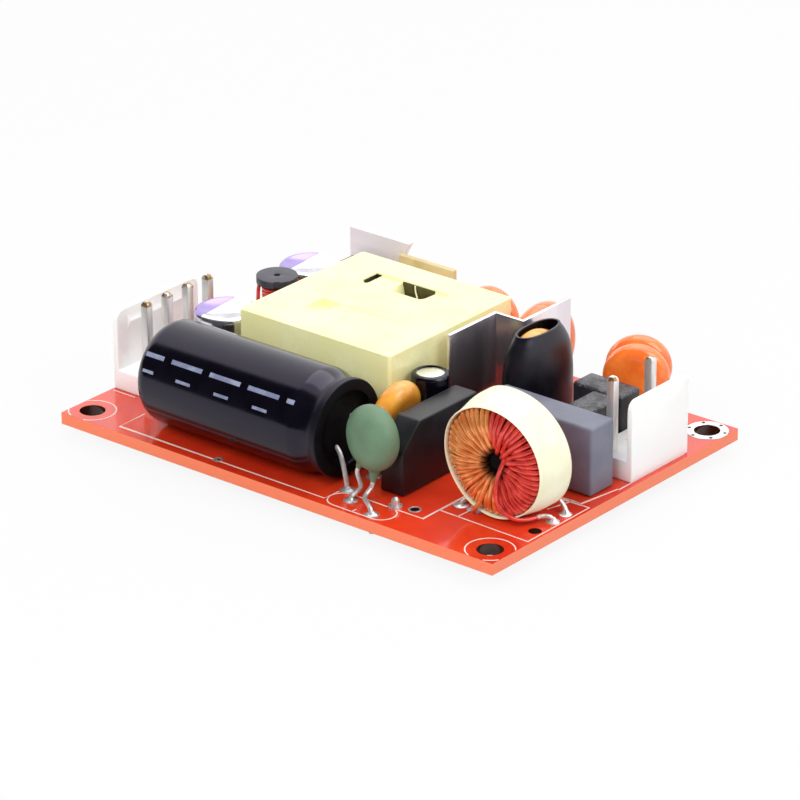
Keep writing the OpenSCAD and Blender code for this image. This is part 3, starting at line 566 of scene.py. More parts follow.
SLEEVE = Finish(
    (0.0012, 0.0010, 0.0030), (0.0024, 0.0020, 0.0050), (0.13, 0.18), grain_mm=1.2, grain_depth_mm=0.004,
    tint=(0.88, 0.84, 1.0),
)
RED_WIRE = WoundFinish(
    (0.62, 0.028, 0.020), (0.88, 0.080, 0.058), (0.2, 0.28), 0.4, patch_mm=1.5, grain_depth_mm=0.003,
    coat=1.0,
)
COPPER_WIRE = WoundFinish(
    (0.78, 0.22, 0.045), (0.96, 0.38, 0.11), (0.2, 0.28), 0.5, patch_mm=1.5, grain_depth_mm=0.003,
    coat=1.0,
)
FINISHES: dict[Slot | Extra, Finish] = {
    Slot.BOARD: BoardFinish(
        (0.66, 0.032, 0.010), (0.80, 0.052, 0.014), (0.10, 0.16), patch_mm=9, grain_mm=0.5,
        grain_depth_mm=0.002, coat=0.3, subsurface=0.2, subsurface_mm=1.5,
    ),
    Slot.BARE_ALUMINIUM: MarkedCanFinish(
        (0.86, 0.86, 0.90), (0.93, 0.93, 0.96), (0.2, 0.3), 1.0, grain_mm=0.6, grain_depth_mm=0.002,
        stretch=(1, 1, 0.2),
    ),
    Slot.BLACK_SLEEVE: SLEEVE,
    Slot.BUNG_RUBBER: Finish(
        (0.003, 0.003, 0.004), (0.006, 0.006, 0.007), (0.6, 0.75), grain_mm=0.2, specular=0.08,
    ),
    Slot.TINNED_WIRE: Finish(
        (0.76, 0.74, 0.73), (0.90, 0.88, 0.87), (0.32, 0.44), 0.7, patch_mm=1, grain_depth_mm=0.006,
    ),
    Slot.FERRITE: Finish((0.012, 0.012, 0.014), (0.022, 0.022, 0.024), (0.5, 0.65), grain_depth_mm=0.02),
    Slot.DRUM_FERRITE: Finish(
        (0.030, 0.029, 0.044), (0.050, 0.048, 0.070), (0.38, 0.5), patch_mm=1.2, grain_mm=0.15,
    ),
    Slot.BOBBIN_PLASTIC: Finish((0.006, 0.006, 0.007), (0.012, 0.012, 0.013), (0.4, 0.5)),
    Slot.YELLOW_TAPE: Finish(
        (0.95, 0.90, 0.44), (0.98, 0.94, 0.52), (0.2, 0.3), patch_mm=6, grain_mm=3.0,
        grain_depth_mm=0.02, coat=0.3, coat_roughness=0.1, subsurface=0.1,
    ),
    Slot.RED_ENAMEL: RED_WIRE,
    Slot.COPPER_ENAMEL: COPPER_WIRE,
    Slot.CREAM_TAPE: Finish(
        (0.92, 0.85, 0.60), (0.96, 0.91, 0.69), (0.36, 0.5), grain_mm=1.5, grain_depth_mm=0.015,
        subsurface=0.15,
    ),
    Slot.HEADER_PLASTIC: Finish(
        (0.95, 0.95, 0.94), (0.97, 0.97, 0.97), (0.35, 0.45), patch_mm=4, subsurface=0.25,
    ),
    Slot.HEADER_PIN: TippedFinish(
        (0.70, 0.68, 0.66), (0.86, 0.84, 0.82), (0.3, 0.4), 0.75, patch_mm=0.8, stretch=(1, 1, 0.15),
    ),
    Slot.THERMISTOR_COAT: Finish(
        (0.118, 0.205, 0.122), (0.138, 0.235, 0.142), (0.42, 0.55), patch_mm=2.5, grain_mm=0.25,
        grain_depth_mm=0.012, specular=0.4,
    ),
    Slot.AMBER_COAT: Finish(
        (0.84, 0.32, 0.035), (0.92, 0.42, 0.06), (0.18, 0.26), patch_mm=2, grain_mm=0.9,
        grain_depth_mm=0.01, coat=0.5, coat_roughness=0.07, subsurface=0.15,
    ),
    Slot.ORANGE_COAT: Finish(
        (0.90, 0.16, 0.018), (0.96, 0.23, 0.032), (0.16, 0.24), patch_mm=2, grain_mm=0.9,
        grain_depth_mm=0.01, coat=0.6, coat_roughness=0.06, subsurface=0.15,
    ),
    Slot.BLACK_EPOXY: Finish(
        (0.004, 0.004, 0.006), (0.009, 0.009, 0.012), (0.34, 0.44), grain_mm=0.12, grain_depth_mm=0.008,
    ),
    Slot.FILM_PLASTIC: Finish(
        (0.145, 0.150, 0.205), (0.175, 0.180, 0.235), (0.4, 0.5), grain_mm=0.12, grain_depth_mm=0.006,
    ),
    Slot.FUSE_PLASTIC: ScuffAndSheenFinish(
        (0.016, 0.016, 0.020), (0.028, 0.028, 0.034), (0.4, 0.55), grain_mm=0.15, grain_depth_mm=0.015,
    ),
    # The pink in this metal's colour and the rear plate's is a painted reflection of the red board.
    Slot.HEATSINK_METAL: Finish(
        (0.84, 0.76, 0.80), (0.92, 0.84, 0.88), (0.18, 0.26), 0.95, grain_mm=0.5, grain_depth_mm=0.001,
        stretch=(1, 1, 0.1),
    ),
    Slot.REAR_PLATE: Finish((0.86, 0.76, 0.81), (0.94, 0.87, 0.91), (0.4, 0.5), 0.25, stretch=(0.1, 1, 1)),
    Slot.ZINC_SCREW: Finish((0.55, 0.55, 0.56), (0.70, 0.70, 0.71), (0.25, 0.35), 1.0),
    Slot.BEIGE_BOARD: Finish(
        (0.62, 0.48, 0.24), (0.72, 0.58, 0.32), (0.6, 0.75), grain_mm=0.25, grain_depth_mm=0.02,
    ),
    Slot.CHIP_BODY: Finish((0.10, 0.06, 0.035), (0.16, 0.10, 0.06), (0.4, 0.5), patch_mm=1),
    Slot.SOLDER: Finish(
        (0.66, 0.66, 0.67), (0.82, 0.82, 0.83), (0.28, 0.4), 0.75, patch_mm=0.7, grain_mm=0.5,
        grain_depth_mm=0.015,
    ),
    Extra.INK: Finish((0.85, 0.66, 0.60), (0.92, 0.76, 0.70), (0.5, 0.6), patch_mm=2),
    Extra.SLEEVE_INK: Finish((0.17, 0.19, 0.30), (0.27, 0.30, 0.42), (0.4, 0.5), patch_mm=2),
    Extra.BULK_SKIN: SkinFinish(
        SLEEVE.dark, SLEEVE.light, SLEEVE.roughness, grain_mm=SLEEVE.grain_mm,
        grain_depth_mm=SLEEVE.grain_depth_mm, tint=(0.82, 0.74, 1.0),
    ),
    Extra.SHRUNK: Finish(
        (0.004, 0.004, 0.007), (0.008, 0.008, 0.012), (0.3, 0.38), patch_mm=2, tint=SLEEVE.tint,
    ),
    Extra.SHADE: Finish((0.035, 0.030, 0.008), (0.065, 0.055, 0.016), (0.3, 0.4), patch_mm=1),
    # The tails lie outside the bore, so they carry no painted shade.
    Extra.RED_TAIL: replace(RED_WIRE, bore_mm=(0.0, 0.01)),
    Extra.COPPER_TAIL: replace(COPPER_WIRE, bore_mm=(0.0, 0.01)),
}


# ---------------------------------------------------------------------------------------------
# Meshes


def catmull(points: Sequence[Vector], steps: int, closed: bool = False) -> list[Vector]:
    """Smooth curve through points.

    Args:
        points: points that the curve passes.
        steps: pieces between two points.
        closed: whether the curve returns to its start.

    Returns:
        Points along the curve.
    """
    count = len(points)
    spans = count if closed else count - 1
    out: list[Vector] = []
    for i in range(spans):
        if closed:
            a, b, c, d = (points[(i + k) % count] for k in (-1, 0, 1, 2))
        else:
            a, b, c, d = (points[min(max(i + k, 0), count - 1)] for k in (-1, 0, 1, 2))
        linear, square, cube = c - a, 2 * a - 5 * b + 4 * c - d, 3 * b - a - 3 * c + d
        for t in (k / steps for k in range(steps)):
            out.append(0.5 * (2 * b + linear * t + square * t**2 + cube * t**3))
    if not closed:
        out.append(points[-1].copy())
    return out


def curve_through(points: Sequence[Point], steps: int = 8) -> list[Vector]:
    """Gives a smooth open curve through places in millimetres."""
    return catmull([Vector(p) for p in points], steps)


def spread(steps: int) -> Iterable[float]:
    """Gives the shares from 0 to 1 in equal steps, both ends included."""
    return (k / steps for k in range(steps + 1))


def rise(value: float, low: float, high: float) -> float:
    """Goes smoothly from 0 at low to 1 at high."""
    t = min(1.0, max(0.0, (value - low) / (high - low)))
    return t * t * (3 - 2 * t)


def on_circle(radius: float, angle: float) -> Spot:
    """Gives the point of a circle about the origin at an angle in radians."""
    return radius * math.cos(angle), radius * math.sin(angle)


def rounded_route(points: Sequence[Point], radius: float, steps: int) -> list[Vector]:
    """A route in millimetres with its corners rounded, as in the CAD wires.

    Args:
        points: corners of the route.
        radius: longest run of a bend before its corner.
        steps: pieces in each bend.

    Returns:
        Points along the route.
    """
    corners = [Vector(p) for p in points]
    out = [corners[0]]
    for before, here, after in zip(corners, corners[1:], corners[2:]):
        back, ahead = before - here, after - here
        start = here + back.normalized() * min(radius, 0.45 * back.length)
        end = here + ahead.normalized() * min(radius, 0.45 * ahead.length)
        out += [start * (1 - t) ** 2 + here * 2 * t * (1 - t) + end * t**2 for t in spread(steps)]
    out.append(corners[-1])
    return out


class Shape:
    """A mesh under construction, in millimetres."""

    def __init__(self) -> None:
        """Starts an empty mesh."""
        self.mesh = bmesh.new()

    def rings(self, rings: Sequence[Sequence[Vector]], closed: bool = False, caps: bool = True) -> "Shape":
        """Skins a row of rings of equal length.

        Args:
            rings: rings of points.
            closed: whether the last ring joins the first.
            caps: whether the two ends are filled.

        Returns:
            This shape.
        """
        rows = [[self.mesh.verts.new(p) for p in ring] for ring in rings]
        size = len(rows[0])
        pairs = list(zip(rows, rows[1:]))
        if closed:
            pairs.append((rows[-1], rows[0]))
        for low, high in pairs:
            for k in range(size):
                self.mesh.faces.new((low[k], low[(k + 1) % size], high[(k + 1) % size], high[k]))
        if caps and not closed:
            self.mesh.faces.new(list(reversed(rows[0])))
            self.mesh.faces.new(rows[-1])
        return self

    def lathe(self, profile: Sequence[Spot], segments: int = 96) -> "Shape":
        """Turns a profile of radius and height about Z.

        Args:
            profile: radius and height, from bottom to top or round a closed wall.
            segments: faces round the axis.

        Returns:
            This shape.
        """
        thinnest = 1e-4
        turn = [2 * math.pi * k / segments for k in range(segments)]
        rings = [[Vector((*on_circle(max(r, thinnest), a), z)) for a in turn] for r, z in profile]
        return self.rings(rings, caps=False)

    def ribbon(self, path: Sequence[Vector], width: float, height: float, closed: bool = False) -> "Shape":
        """Lays a flat printed line on a level surface.

        Args:
            path: middle line, all at the height of the surface.
            width: width of the line.
            height: thickness of the ink.
            closed: whether the line is a loop.

        Returns:
            This shape.
        """
        count = len(path)
        rings = []
        for i, point in enumerate(path):
            ahead = path[(i + 1) % count] if closed else path[min(i + 1, count - 1)]
            behind = path[i - 1] if closed or i else path[0]
            along = (ahead - behind).normalized()
            across = Vector((-along.y, along.x, 0))
            before = (point - behind).normalized() if (point - behind).length > 1e-6 else along
            mitre = 1 / max(0.5, abs(before.dot(along)))
            half = across * width / 2 * mitre
            up = Vector((0, 0, height))
            rings.append([point - half, point + half, point + half + up, point - half + up])
        return self.rings(rings, closed)

    def box(self, low: Point, high: Point) -> "Shape":
        """Adds a box between two corners."""
        bmesh.ops.create_cube(
            self.mesh,
            matrix=Matrix.Translation((Vector(low) + Vector(high)) / 2)
            @ Matrix.Diagonal((*(Vector(high) - Vector(low)), 1)),
        )
        return self

    def move(self, matrix: Matrix) -> "Shape":
        """Applies a transform in millimetres to all of the shape so far."""
        self.mesh.transform(matrix)
        return self

    def join(self, other: "Shape") -> "Shape":
        """Adds another shape to this one and ends it."""
        data = bpy.data.meshes.new("joined")
        other.mesh.to_mesh(data)
        other.mesh.free()
        self.mesh.from_mesh(data)
        bpy.data.meshes.remove(data)
        return self

    def finish(self, name: str, smooth_deg: float = 40.0) -> bpy.types.Mesh:
        """Ends the shape as a mesh in metres.

        Args:
            name: name of the mesh.
            smooth_deg: edges sharper than this stay sharp.

        Returns:
            The mesh.
        """
        bmesh.ops.remove_doubles(self.mesh, verts=self.mesh.verts, dist=1e-4)
        bmesh.ops.dissolve_degenerate(self.mesh, edges=self.mesh.edges, dist=1e-5)
        bmesh.ops.recalc_face_normals(self.mesh, faces=self.mesh.faces)
        self.mesh.transform(Matrix.Scale(MM, 4))
        data = bpy.data.meshes.new(name)
        self.mesh.to_mesh(data)
        self.mesh.free()
        return smooth(data, smooth_deg)


def smooth(data: bpy.types.Mesh, degrees: float) -> bpy.types.Mesh:
    """Shades a mesh smooth, apart from the edges sharper than an angle."""
    data.polygons.foreach_set("use_smooth", [True] * len(data.polygons))
    data.set_sharp_from_angle(angle=math.radians(degrees))
    data.update()
    return data


def outward(data: bpy.types.Mesh) -> bpy.types.Mesh:
    """Turns all faces of a closed mesh outwards."""
    shape = bmesh.new()
    shape.from_mesh(data)
    bmesh.ops.recalc_face_normals(shape, faces=shape.faces)
    shape.to_mesh(data)
    shape.free()
    return data


def applied(data: bpy.types.Mesh, *modifiers: tuple[str, dict[str, object]]) -> bpy.types.Mesh:
    """Runs modifiers over a mesh and returns the plain result.

    Args:
        data: the mesh.
        modifiers: type and settings of each modifier, in order.

    Returns:
        The new mesh.
    """
    holder = bpy.data.objects.new("holder", data)
    bpy.context.scene.collection.objects.link(holder)
    for kind, settings in modifiers:
        modifier = holder.modifiers.new(kind.lower(), kind)
        for key, value in settings.items():
            setattr(modifier, key, value)
    graph = bpy.context.evaluated_depsgraph_get()
    result = bpy.data.meshes.new_from_object(holder.evaluated_get(graph))
    bpy.data.objects.remove(holder)
    return result


def rounded(data: bpy.types.Mesh, width: float, segments: int) -> bpy.types.Mesh:
    """Rounds the sharp edges of a mesh.

    Args:
        data: the mesh.
        width: width of the rounding, in millimetres.
        segments: faces across the rounding.

    Returns:
        The new mesh.
    """
    sharp = 35
    settings = {
        "width": width * MM,
        "segments": segments,
        "limit_method": "ANGLE",
        "angle_limit": math.radians(sharp),
    }
    return smooth(applied(data, ("BEVEL", settings)), sharp)


# ---------------------------------------------------------------------------------------------
# Geometry node trees


class GeometryTree(Tree):
    """A Geometry Nodes tree with named inputs, ending in realised geometry of one material."""

    def __init__(self, name: str, inputs: Sequence[tuple[str, str]]) -> None:
        """Makes the tree's sockets.

        Args:
            name: name of the tree.
            inputs: name and socket type of each input after the geometry.
        """
        super().__init__(bpy.data.node_groups.new(name, "GeometryNodeTree"))
        face = self.tree.interface
        face.new_socket("Geometry", in_out="INPUT", socket_type="NodeSocketGeometry")
        self.identifiers = {
            label: face.new_socket(label, in_out="INPUT", socket_type=kind).identifier
            for label, kind in inputs
        }
        face.new_socket("Geometry", in_out="OUTPUT", socket_type="NodeSocketGeometry")
        self.entry = self.node("NodeGroupInput")

    def attribute(self, name: str, kind: str) -> bpy.types.NodeSocket:
        """Reads a named attribute of the incoming geometry."""
        node = self.node("GeometryNodeInputNamedAttribute", {"data_type": kind}, {"Name": name})
        return next(socket for socket in node.outputs if socket.enabled)

    def close(self, geometry: bpy.types.NodeSocket) -> None:
        """Realises the instances, sets the finish and ends the tree."""
        real = self.node("GeometryNodeRealizeInstances", inputs={"Geometry": geometry})
        dressed = self.node("GeometryNodeSetMaterial", inputs={
            "Geometry": real.outputs[0], "Material": self.entry.outputs["Finish"],
        })
        self.node("NodeGroupOutput", inputs={0: dressed.outputs[0]})

    def run(self, seed: bpy.types.Mesh, values: dict[str, object]) -> bpy.types.Mesh:
        """Runs the tree on a mesh.

        Args:
            seed: the mesh that goes in.
            values: value of each named input.

        Returns:
            The plain mesh that comes out.
        """
        holder = bpy.data.objects.new("holder", seed)
        bpy.context.scene.collection.objects.link(holder)
        modifier = holder.modifiers.new("tree", "NODES")
        modifier.node_group = self.tree
        for label, value in values.items():
            modifier[self.identifiers[label]] = value
        result = bpy.data.meshes.new_from_object(holder.evaluated_get(bpy.context.evaluated_depsgraph_get()))
        bpy.data.objects.remove(holder)
        return result


class WireTree(GeometryTree):
    """Draws round wire along every path of a mesh of edges."""

    def __init__(self) -> None:
        """Builds the tree."""
        super().__init__("wire_along_paths", [
            ("Radius", "NodeSocketFloat"), ("Sides", "NodeSocketInt"), ("Finish", "NodeSocketMaterial"),
        ])
        curve = self.node("GeometryNodeMeshToCurve", inputs={"Mesh": self.entry.outputs["Geometry"]})
        circle = self.node("GeometryNodeCurvePrimitiveCircle", inputs={
            "Resolution": self.entry.outputs["Sides"], "Radius": 1.0,
        })
        tube = self.node("GeometryNodeCurveToMesh", inputs={
            "Curve": curve.outputs[0],
            "Profile Curve": circle.outputs[0],
            "Scale": self.entry.outputs["Radius"],
            "Fill Caps": True,
        })
        self.close(tube.outputs[0])

    def draw(
        self, wires: Iterable[Sequence[Vector]], radius: float, sides: int, finish: bpy.types.Material
    ) -> bpy.types.Mesh:
        """Draws some wires.

        Args:
            wires: points of the middle line of each, in millimetres.
            radius: their radius, in millimetres.
            sides: points round each.
            finish: their material.

        Returns:
            One mesh of them all, in metres.
        """
        points: list[Vector] = []
        edges: list[tuple[int, int]] = []
        for wire in wires:
            start = len(points)
            points += wire
            edges += [(i, i + 1) for i in range(start, len(points) - 1)]
        seed = bpy.data.meshes.new("paths")
        seed.from_pydata([p * MM for p in points], edges, [])
        data = self.run(seed, {"Radius": radius * MM, "Sides": sides, "Finish": finish})
        return smooth(outward(data), 60)


@dataclass
class Station:
    """Where one copy of a repeated shape stands, in millimetres.

    Attributes:
        at: its place.
        turn: its Euler angles in radians.
        size: its scale along each axis.
    """

    at: Point
    turn: Point = (0, 0, 0)
    size: Point = (1, 1, 1)


class RepeatTree(GeometryTree):
    """Sets a copy of one shape at every point of a mesh."""

    def __init__(self) -> None:
        """Builds the tree."""
        super().__init__("shape_at_stations", [
            ("Shape", "NodeSocketObject"), ("Finish", "NodeSocketMaterial"),
        ])
        shape = self.node("GeometryNodeObjectInfo", inputs={"Object": self.entry.outputs["Shape"]})
        copies = self.node("GeometryNodeInstanceOnPoints", inputs={
            "Points": self.entry.outputs["Geometry"],
            "Instance": shape.outputs["Geometry"],
            "Rotation": self.attribute("turn", "FLOAT_VECTOR"),
            "Scale": self.attribute("size", "FLOAT_VECTOR"),
        })
        self.close(copies.outputs[0])

    def place(
        self, shape: bpy.types.Mesh, stations: Sequence[Station], finish: bpy.types.Material
    ) -> bpy.types.Mesh:
        """Places the copies.

        Args:
            shape: mesh of one copy, in metres round its own origin.
            stations: where the copies stand.
            finish: their material.

        Returns:
            One mesh of them all.
        """
        seed = bpy.data.meshes.new("stations")
        seed.from_pydata([Vector(s.at) * MM for s in stations], [], [])
        for label in ("turn", "size"):
            values = [value for s in stations for value in getattr(s, label)]
            seed.attributes.new(label, "FLOAT_VECTOR", "POINT").data.foreach_set("vector", values)
        source = bpy.data.objects.new("shape", shape)
        data = self.run(seed, {"Shape": source, "Finish": finish})
        bpy.data.objects.remove(source)
        return smooth(data, 40)


# ---------------------------------------------------------------------------------------------
# Workshop


@dataclass
class Box:
    """Where a CAD node is, in millimetres.

    Attributes:
        low: its lowest corner.
        high: its highest corner.
    """

    low: Vector
    high: Vector

    @property
    def centre(self) -> Vector:
        """Middle of the box."""
        return (self.low + self.high) / 2

    @property
    def size(self) -> Vector:
        """Length along each axis."""
        return self.high - self.low


class Workshop:
    """Holds the frame and the materials, and turns meshes into pieces of the object."""

    def __init__(self, frame: dict) -> None:
        """Builds the materials and gives every CAD node its own.
        """
        self.nodes: dict[str, bpy.types.Object] = frame["nodes"]
        self.wires = WireTree()
        self.repeats = RepeatTree()
        self.materials = {key: finish.build(key.value) for key, finish in FINISHES.items()}
        for part in frame["record"]["subparts"]:
            material = self.materials[Slot(part["material_slot"])]
            data = self.nodes[part["node"]].data
            data.materials.clear()
            data.materials.append(material)

    def box(self, node: str) -> Box:
        """Gives where a CAD node is."""
        low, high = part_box(node)
        return Box(Vector(low) / MM, Vector(high) / MM)

    def islands(self, node: str) -> list[Box]:
        """Gives the box of each separate solid of a CAD node."""
        shape = self.welded(node)
        left = set(shape.verts)
        boxes = []
        while left:
            front = [left.pop()]
            points = []
            while front:
                vert = front.pop()
                points.append(vert.co / MM)
                for edge in vert.link_edges:
                    other = edge.other_vert(vert)
                    if other in left:
                        left.remove(other)
                        front.append(other)
            boxes.append(Box(*(Vector(pick(p[i] for p in points) for i in range(3)) for pick in (min, max))))
        shape.free()
        return boxes

    def welded(self, node: str) -> bmesh.types.BMesh:
        """Gives a copy of a CAD node's mesh with its triangles joined."""
        shape = bmesh.new()
        shape.from_mesh(self.nodes[node].data)
        bmesh.ops.remove_doubles(shape, verts=shape.verts, dist=WELD)
        return shape

    def piece(
        self,
        name: str,
        data: bpy.types.Mesh,
        slot: Slot,
        replaces: Iterable[str] = (),
        look: Extra | None = None,
    ) -> None:
        """Adds a piece that rides on the object.

        Args:
            name: name of the piece.
            data: its mesh, in the frame's place.
            slot: material slot that it takes its finish from.
            replaces: CAD nodes that it stands for.
            look: material to use instead of the slot's own.
        """
        data.materials.clear()
        data.materials.append(self.materials[look or slot])
        data.polygons.foreach_set("material_index", [0] * len(data.polygons))
        piece = bpy.data.objects.new(name, data)
        bpy.context.scene.collection.objects.link(piece)
        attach(piece, "root")
        if replaces:
            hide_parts(*replaces)
        LOG.info("%s: %d faces", name, len(data.polygons))

    def form(
        self,
        name: str,
        shape: Shape,
        slot: Slot,
        degrees: float,
        replaces: Iterable[str] = (),
        look: Extra | None = None,
    ) -> None:
        """Ends a shape and adds it as a piece.

        Args:
            name: name of the piece.
            shape: the shape, in the frame's place.
            slot: material slot that it takes its finish from.
            degrees: edges sharper than this stay sharp.
            replaces: CAD nodes that it stands for.
            look: material to use instead of the slot's own.
        """
        self.piece(name, shape.finish(name, degrees), slot, replaces, look)

    def wiring(
        self,
        name: str,
        wires: Iterable[Sequence[Vector]],
        radius: float,
        sides: int,
        slot: Slot,
        replaces: Iterable[str] = (),
        look: Extra | None = None,
    ) -> None:
        """Draws wires and adds them as a piece.

        Args:
            name: name of the piece.
            wires: points of the middle line of each wire, in millimetres.
            radius: their radius, in millimetres.
            sides: points round each.
            slot: material slot that they take their finish from.
            replaces: CAD nodes that they stand for.
            look: material to use instead of the slot's own.
        """
        data = self.wires.draw(wires, radius, sides, self.materials[look or slot])
        self.piece(name, data, slot, replaces, look)

    def copies(
        self,
        name: str,
        shape: bpy.types.Mesh,
        stations: Sequence[Station],
        slot: Slot,
        replaces: Iterable[str] = (),
    ) -> None:
        """Sets copies of a shape at some stations and adds them as a piece.

        Args:
            name: name of the piece.
            shape: mesh of one copy, in metres round its own origin.
            stations: where the copies stand.
            slot: material slot that they take their finish from.
            replaces: CAD nodes that they stand for.
        """
        self.piece(name, self.repeats.place(shape, stations, self.materials[slot]), slot, replaces)

    def soften(self, node: str, slot: Slot, width: float) -> None:
        """Replaces a CAD node by a copy with rounded edges.

        Args:
            node: name of the node.
            slot: its material slot.
            width: width of the rounding, in millimetres.
        """
        shape = self.welded(node)
        bmesh.ops.dissolve_limit(
            shape,
            angle_limit=math.radians(1),
            verts=shape.verts,
            edges=shape.edges,
            use_dissolve_boundaries=False,
        )
        data = bpy.data.meshes.new(node + "_soft")
        shape.to_mesh(data)
        shape.free()
        self.piece(node + "_finished", rounded(data, width, 3), slot, [node])


# ---------------------------------------------------------------------------------------------
# Capacitor cans


@dataclass
class CanShape:
    """Profile of a drawn can, along its own axis from the open end.

    Attributes:
        radius: outer radius.
        length: length over all.
        fillet: radius of the closed end's edge.
        groove_at: distance of the seal groove from the open end.
        groove: depth of that groove.
        opening: radius of the open end.
        crown: radius where the closed end's rim ends, or 0 for a full end.
        dish: how far the closed end sinks inside its rim.
        lip: how much smaller the rolled lip is than the body.
        shoulder: length of the slope from the body into the groove, or 0 for a short one.
        rim: edge radius of the open end.
    """

    radius: float
    length: float
    fillet: float
    groove_at: float
    groove: float
    opening: float
    crown: float = 0.0
    dish: float = 0.0
    lip: float = 0.0
    shoulder: float = 0.0
    rim: float = 0.5

    def outline(self) -> list[Spot]:
        """Gives radius and height along the outside, from the open end to the closed one."""
        r, steps = self.radius, 10
        quarter = [math.pi / 2 * t for t in spread(steps)]
        rim, fillet = self.rim, self.fillet
        near = self.groove * 2
        far = self.shoulder or near
        points = [(self.opening, 0.0)]
        points += [(r - self.lip - rim + rim * math.sin(a), rim - rim * math.cos(a)) for a in quarter]
        for t in (k / steps - 1 for k in range(2 * steps + 1)):
            drawn_in = self.lip * (1 - t) / 2 + self.groove * (0.5 + 0.5 * math.cos(math.pi * t))
            points.append((r - drawn_in, self.groove_at + (far if t > 0 else near) * t))
        top = self.length - fillet
        points += [(r - fillet + fillet * math.cos(a), top + fillet * math.sin(a)) for a in quarter]
        if self.crown:
            points += [(self.crown + 0.12, self.length), (self.crown, self.length - self.dish)]
        return points

    def sleeve(self, film: float, mouth: float) -> list[Spot]:
        """Gives the closed outline of a sleeve's film over this shape.

        Args:
            film: thickness of the film.
            mouth: radius of the sleeve's opening at the closed end.

        Returns:
            Radius and height round the film's section.
        """
        length = self.length
        outside = self.outline() + [(mouth, length)]
        inside = [(max(r - film, 0), z + (film if z < length / 2 else -film)) for r, z in outside]
        inside[0], inside[-1] = (self.opening, film), (mouth, length - film)
        return outside + inside[::-1] + outside[:1]


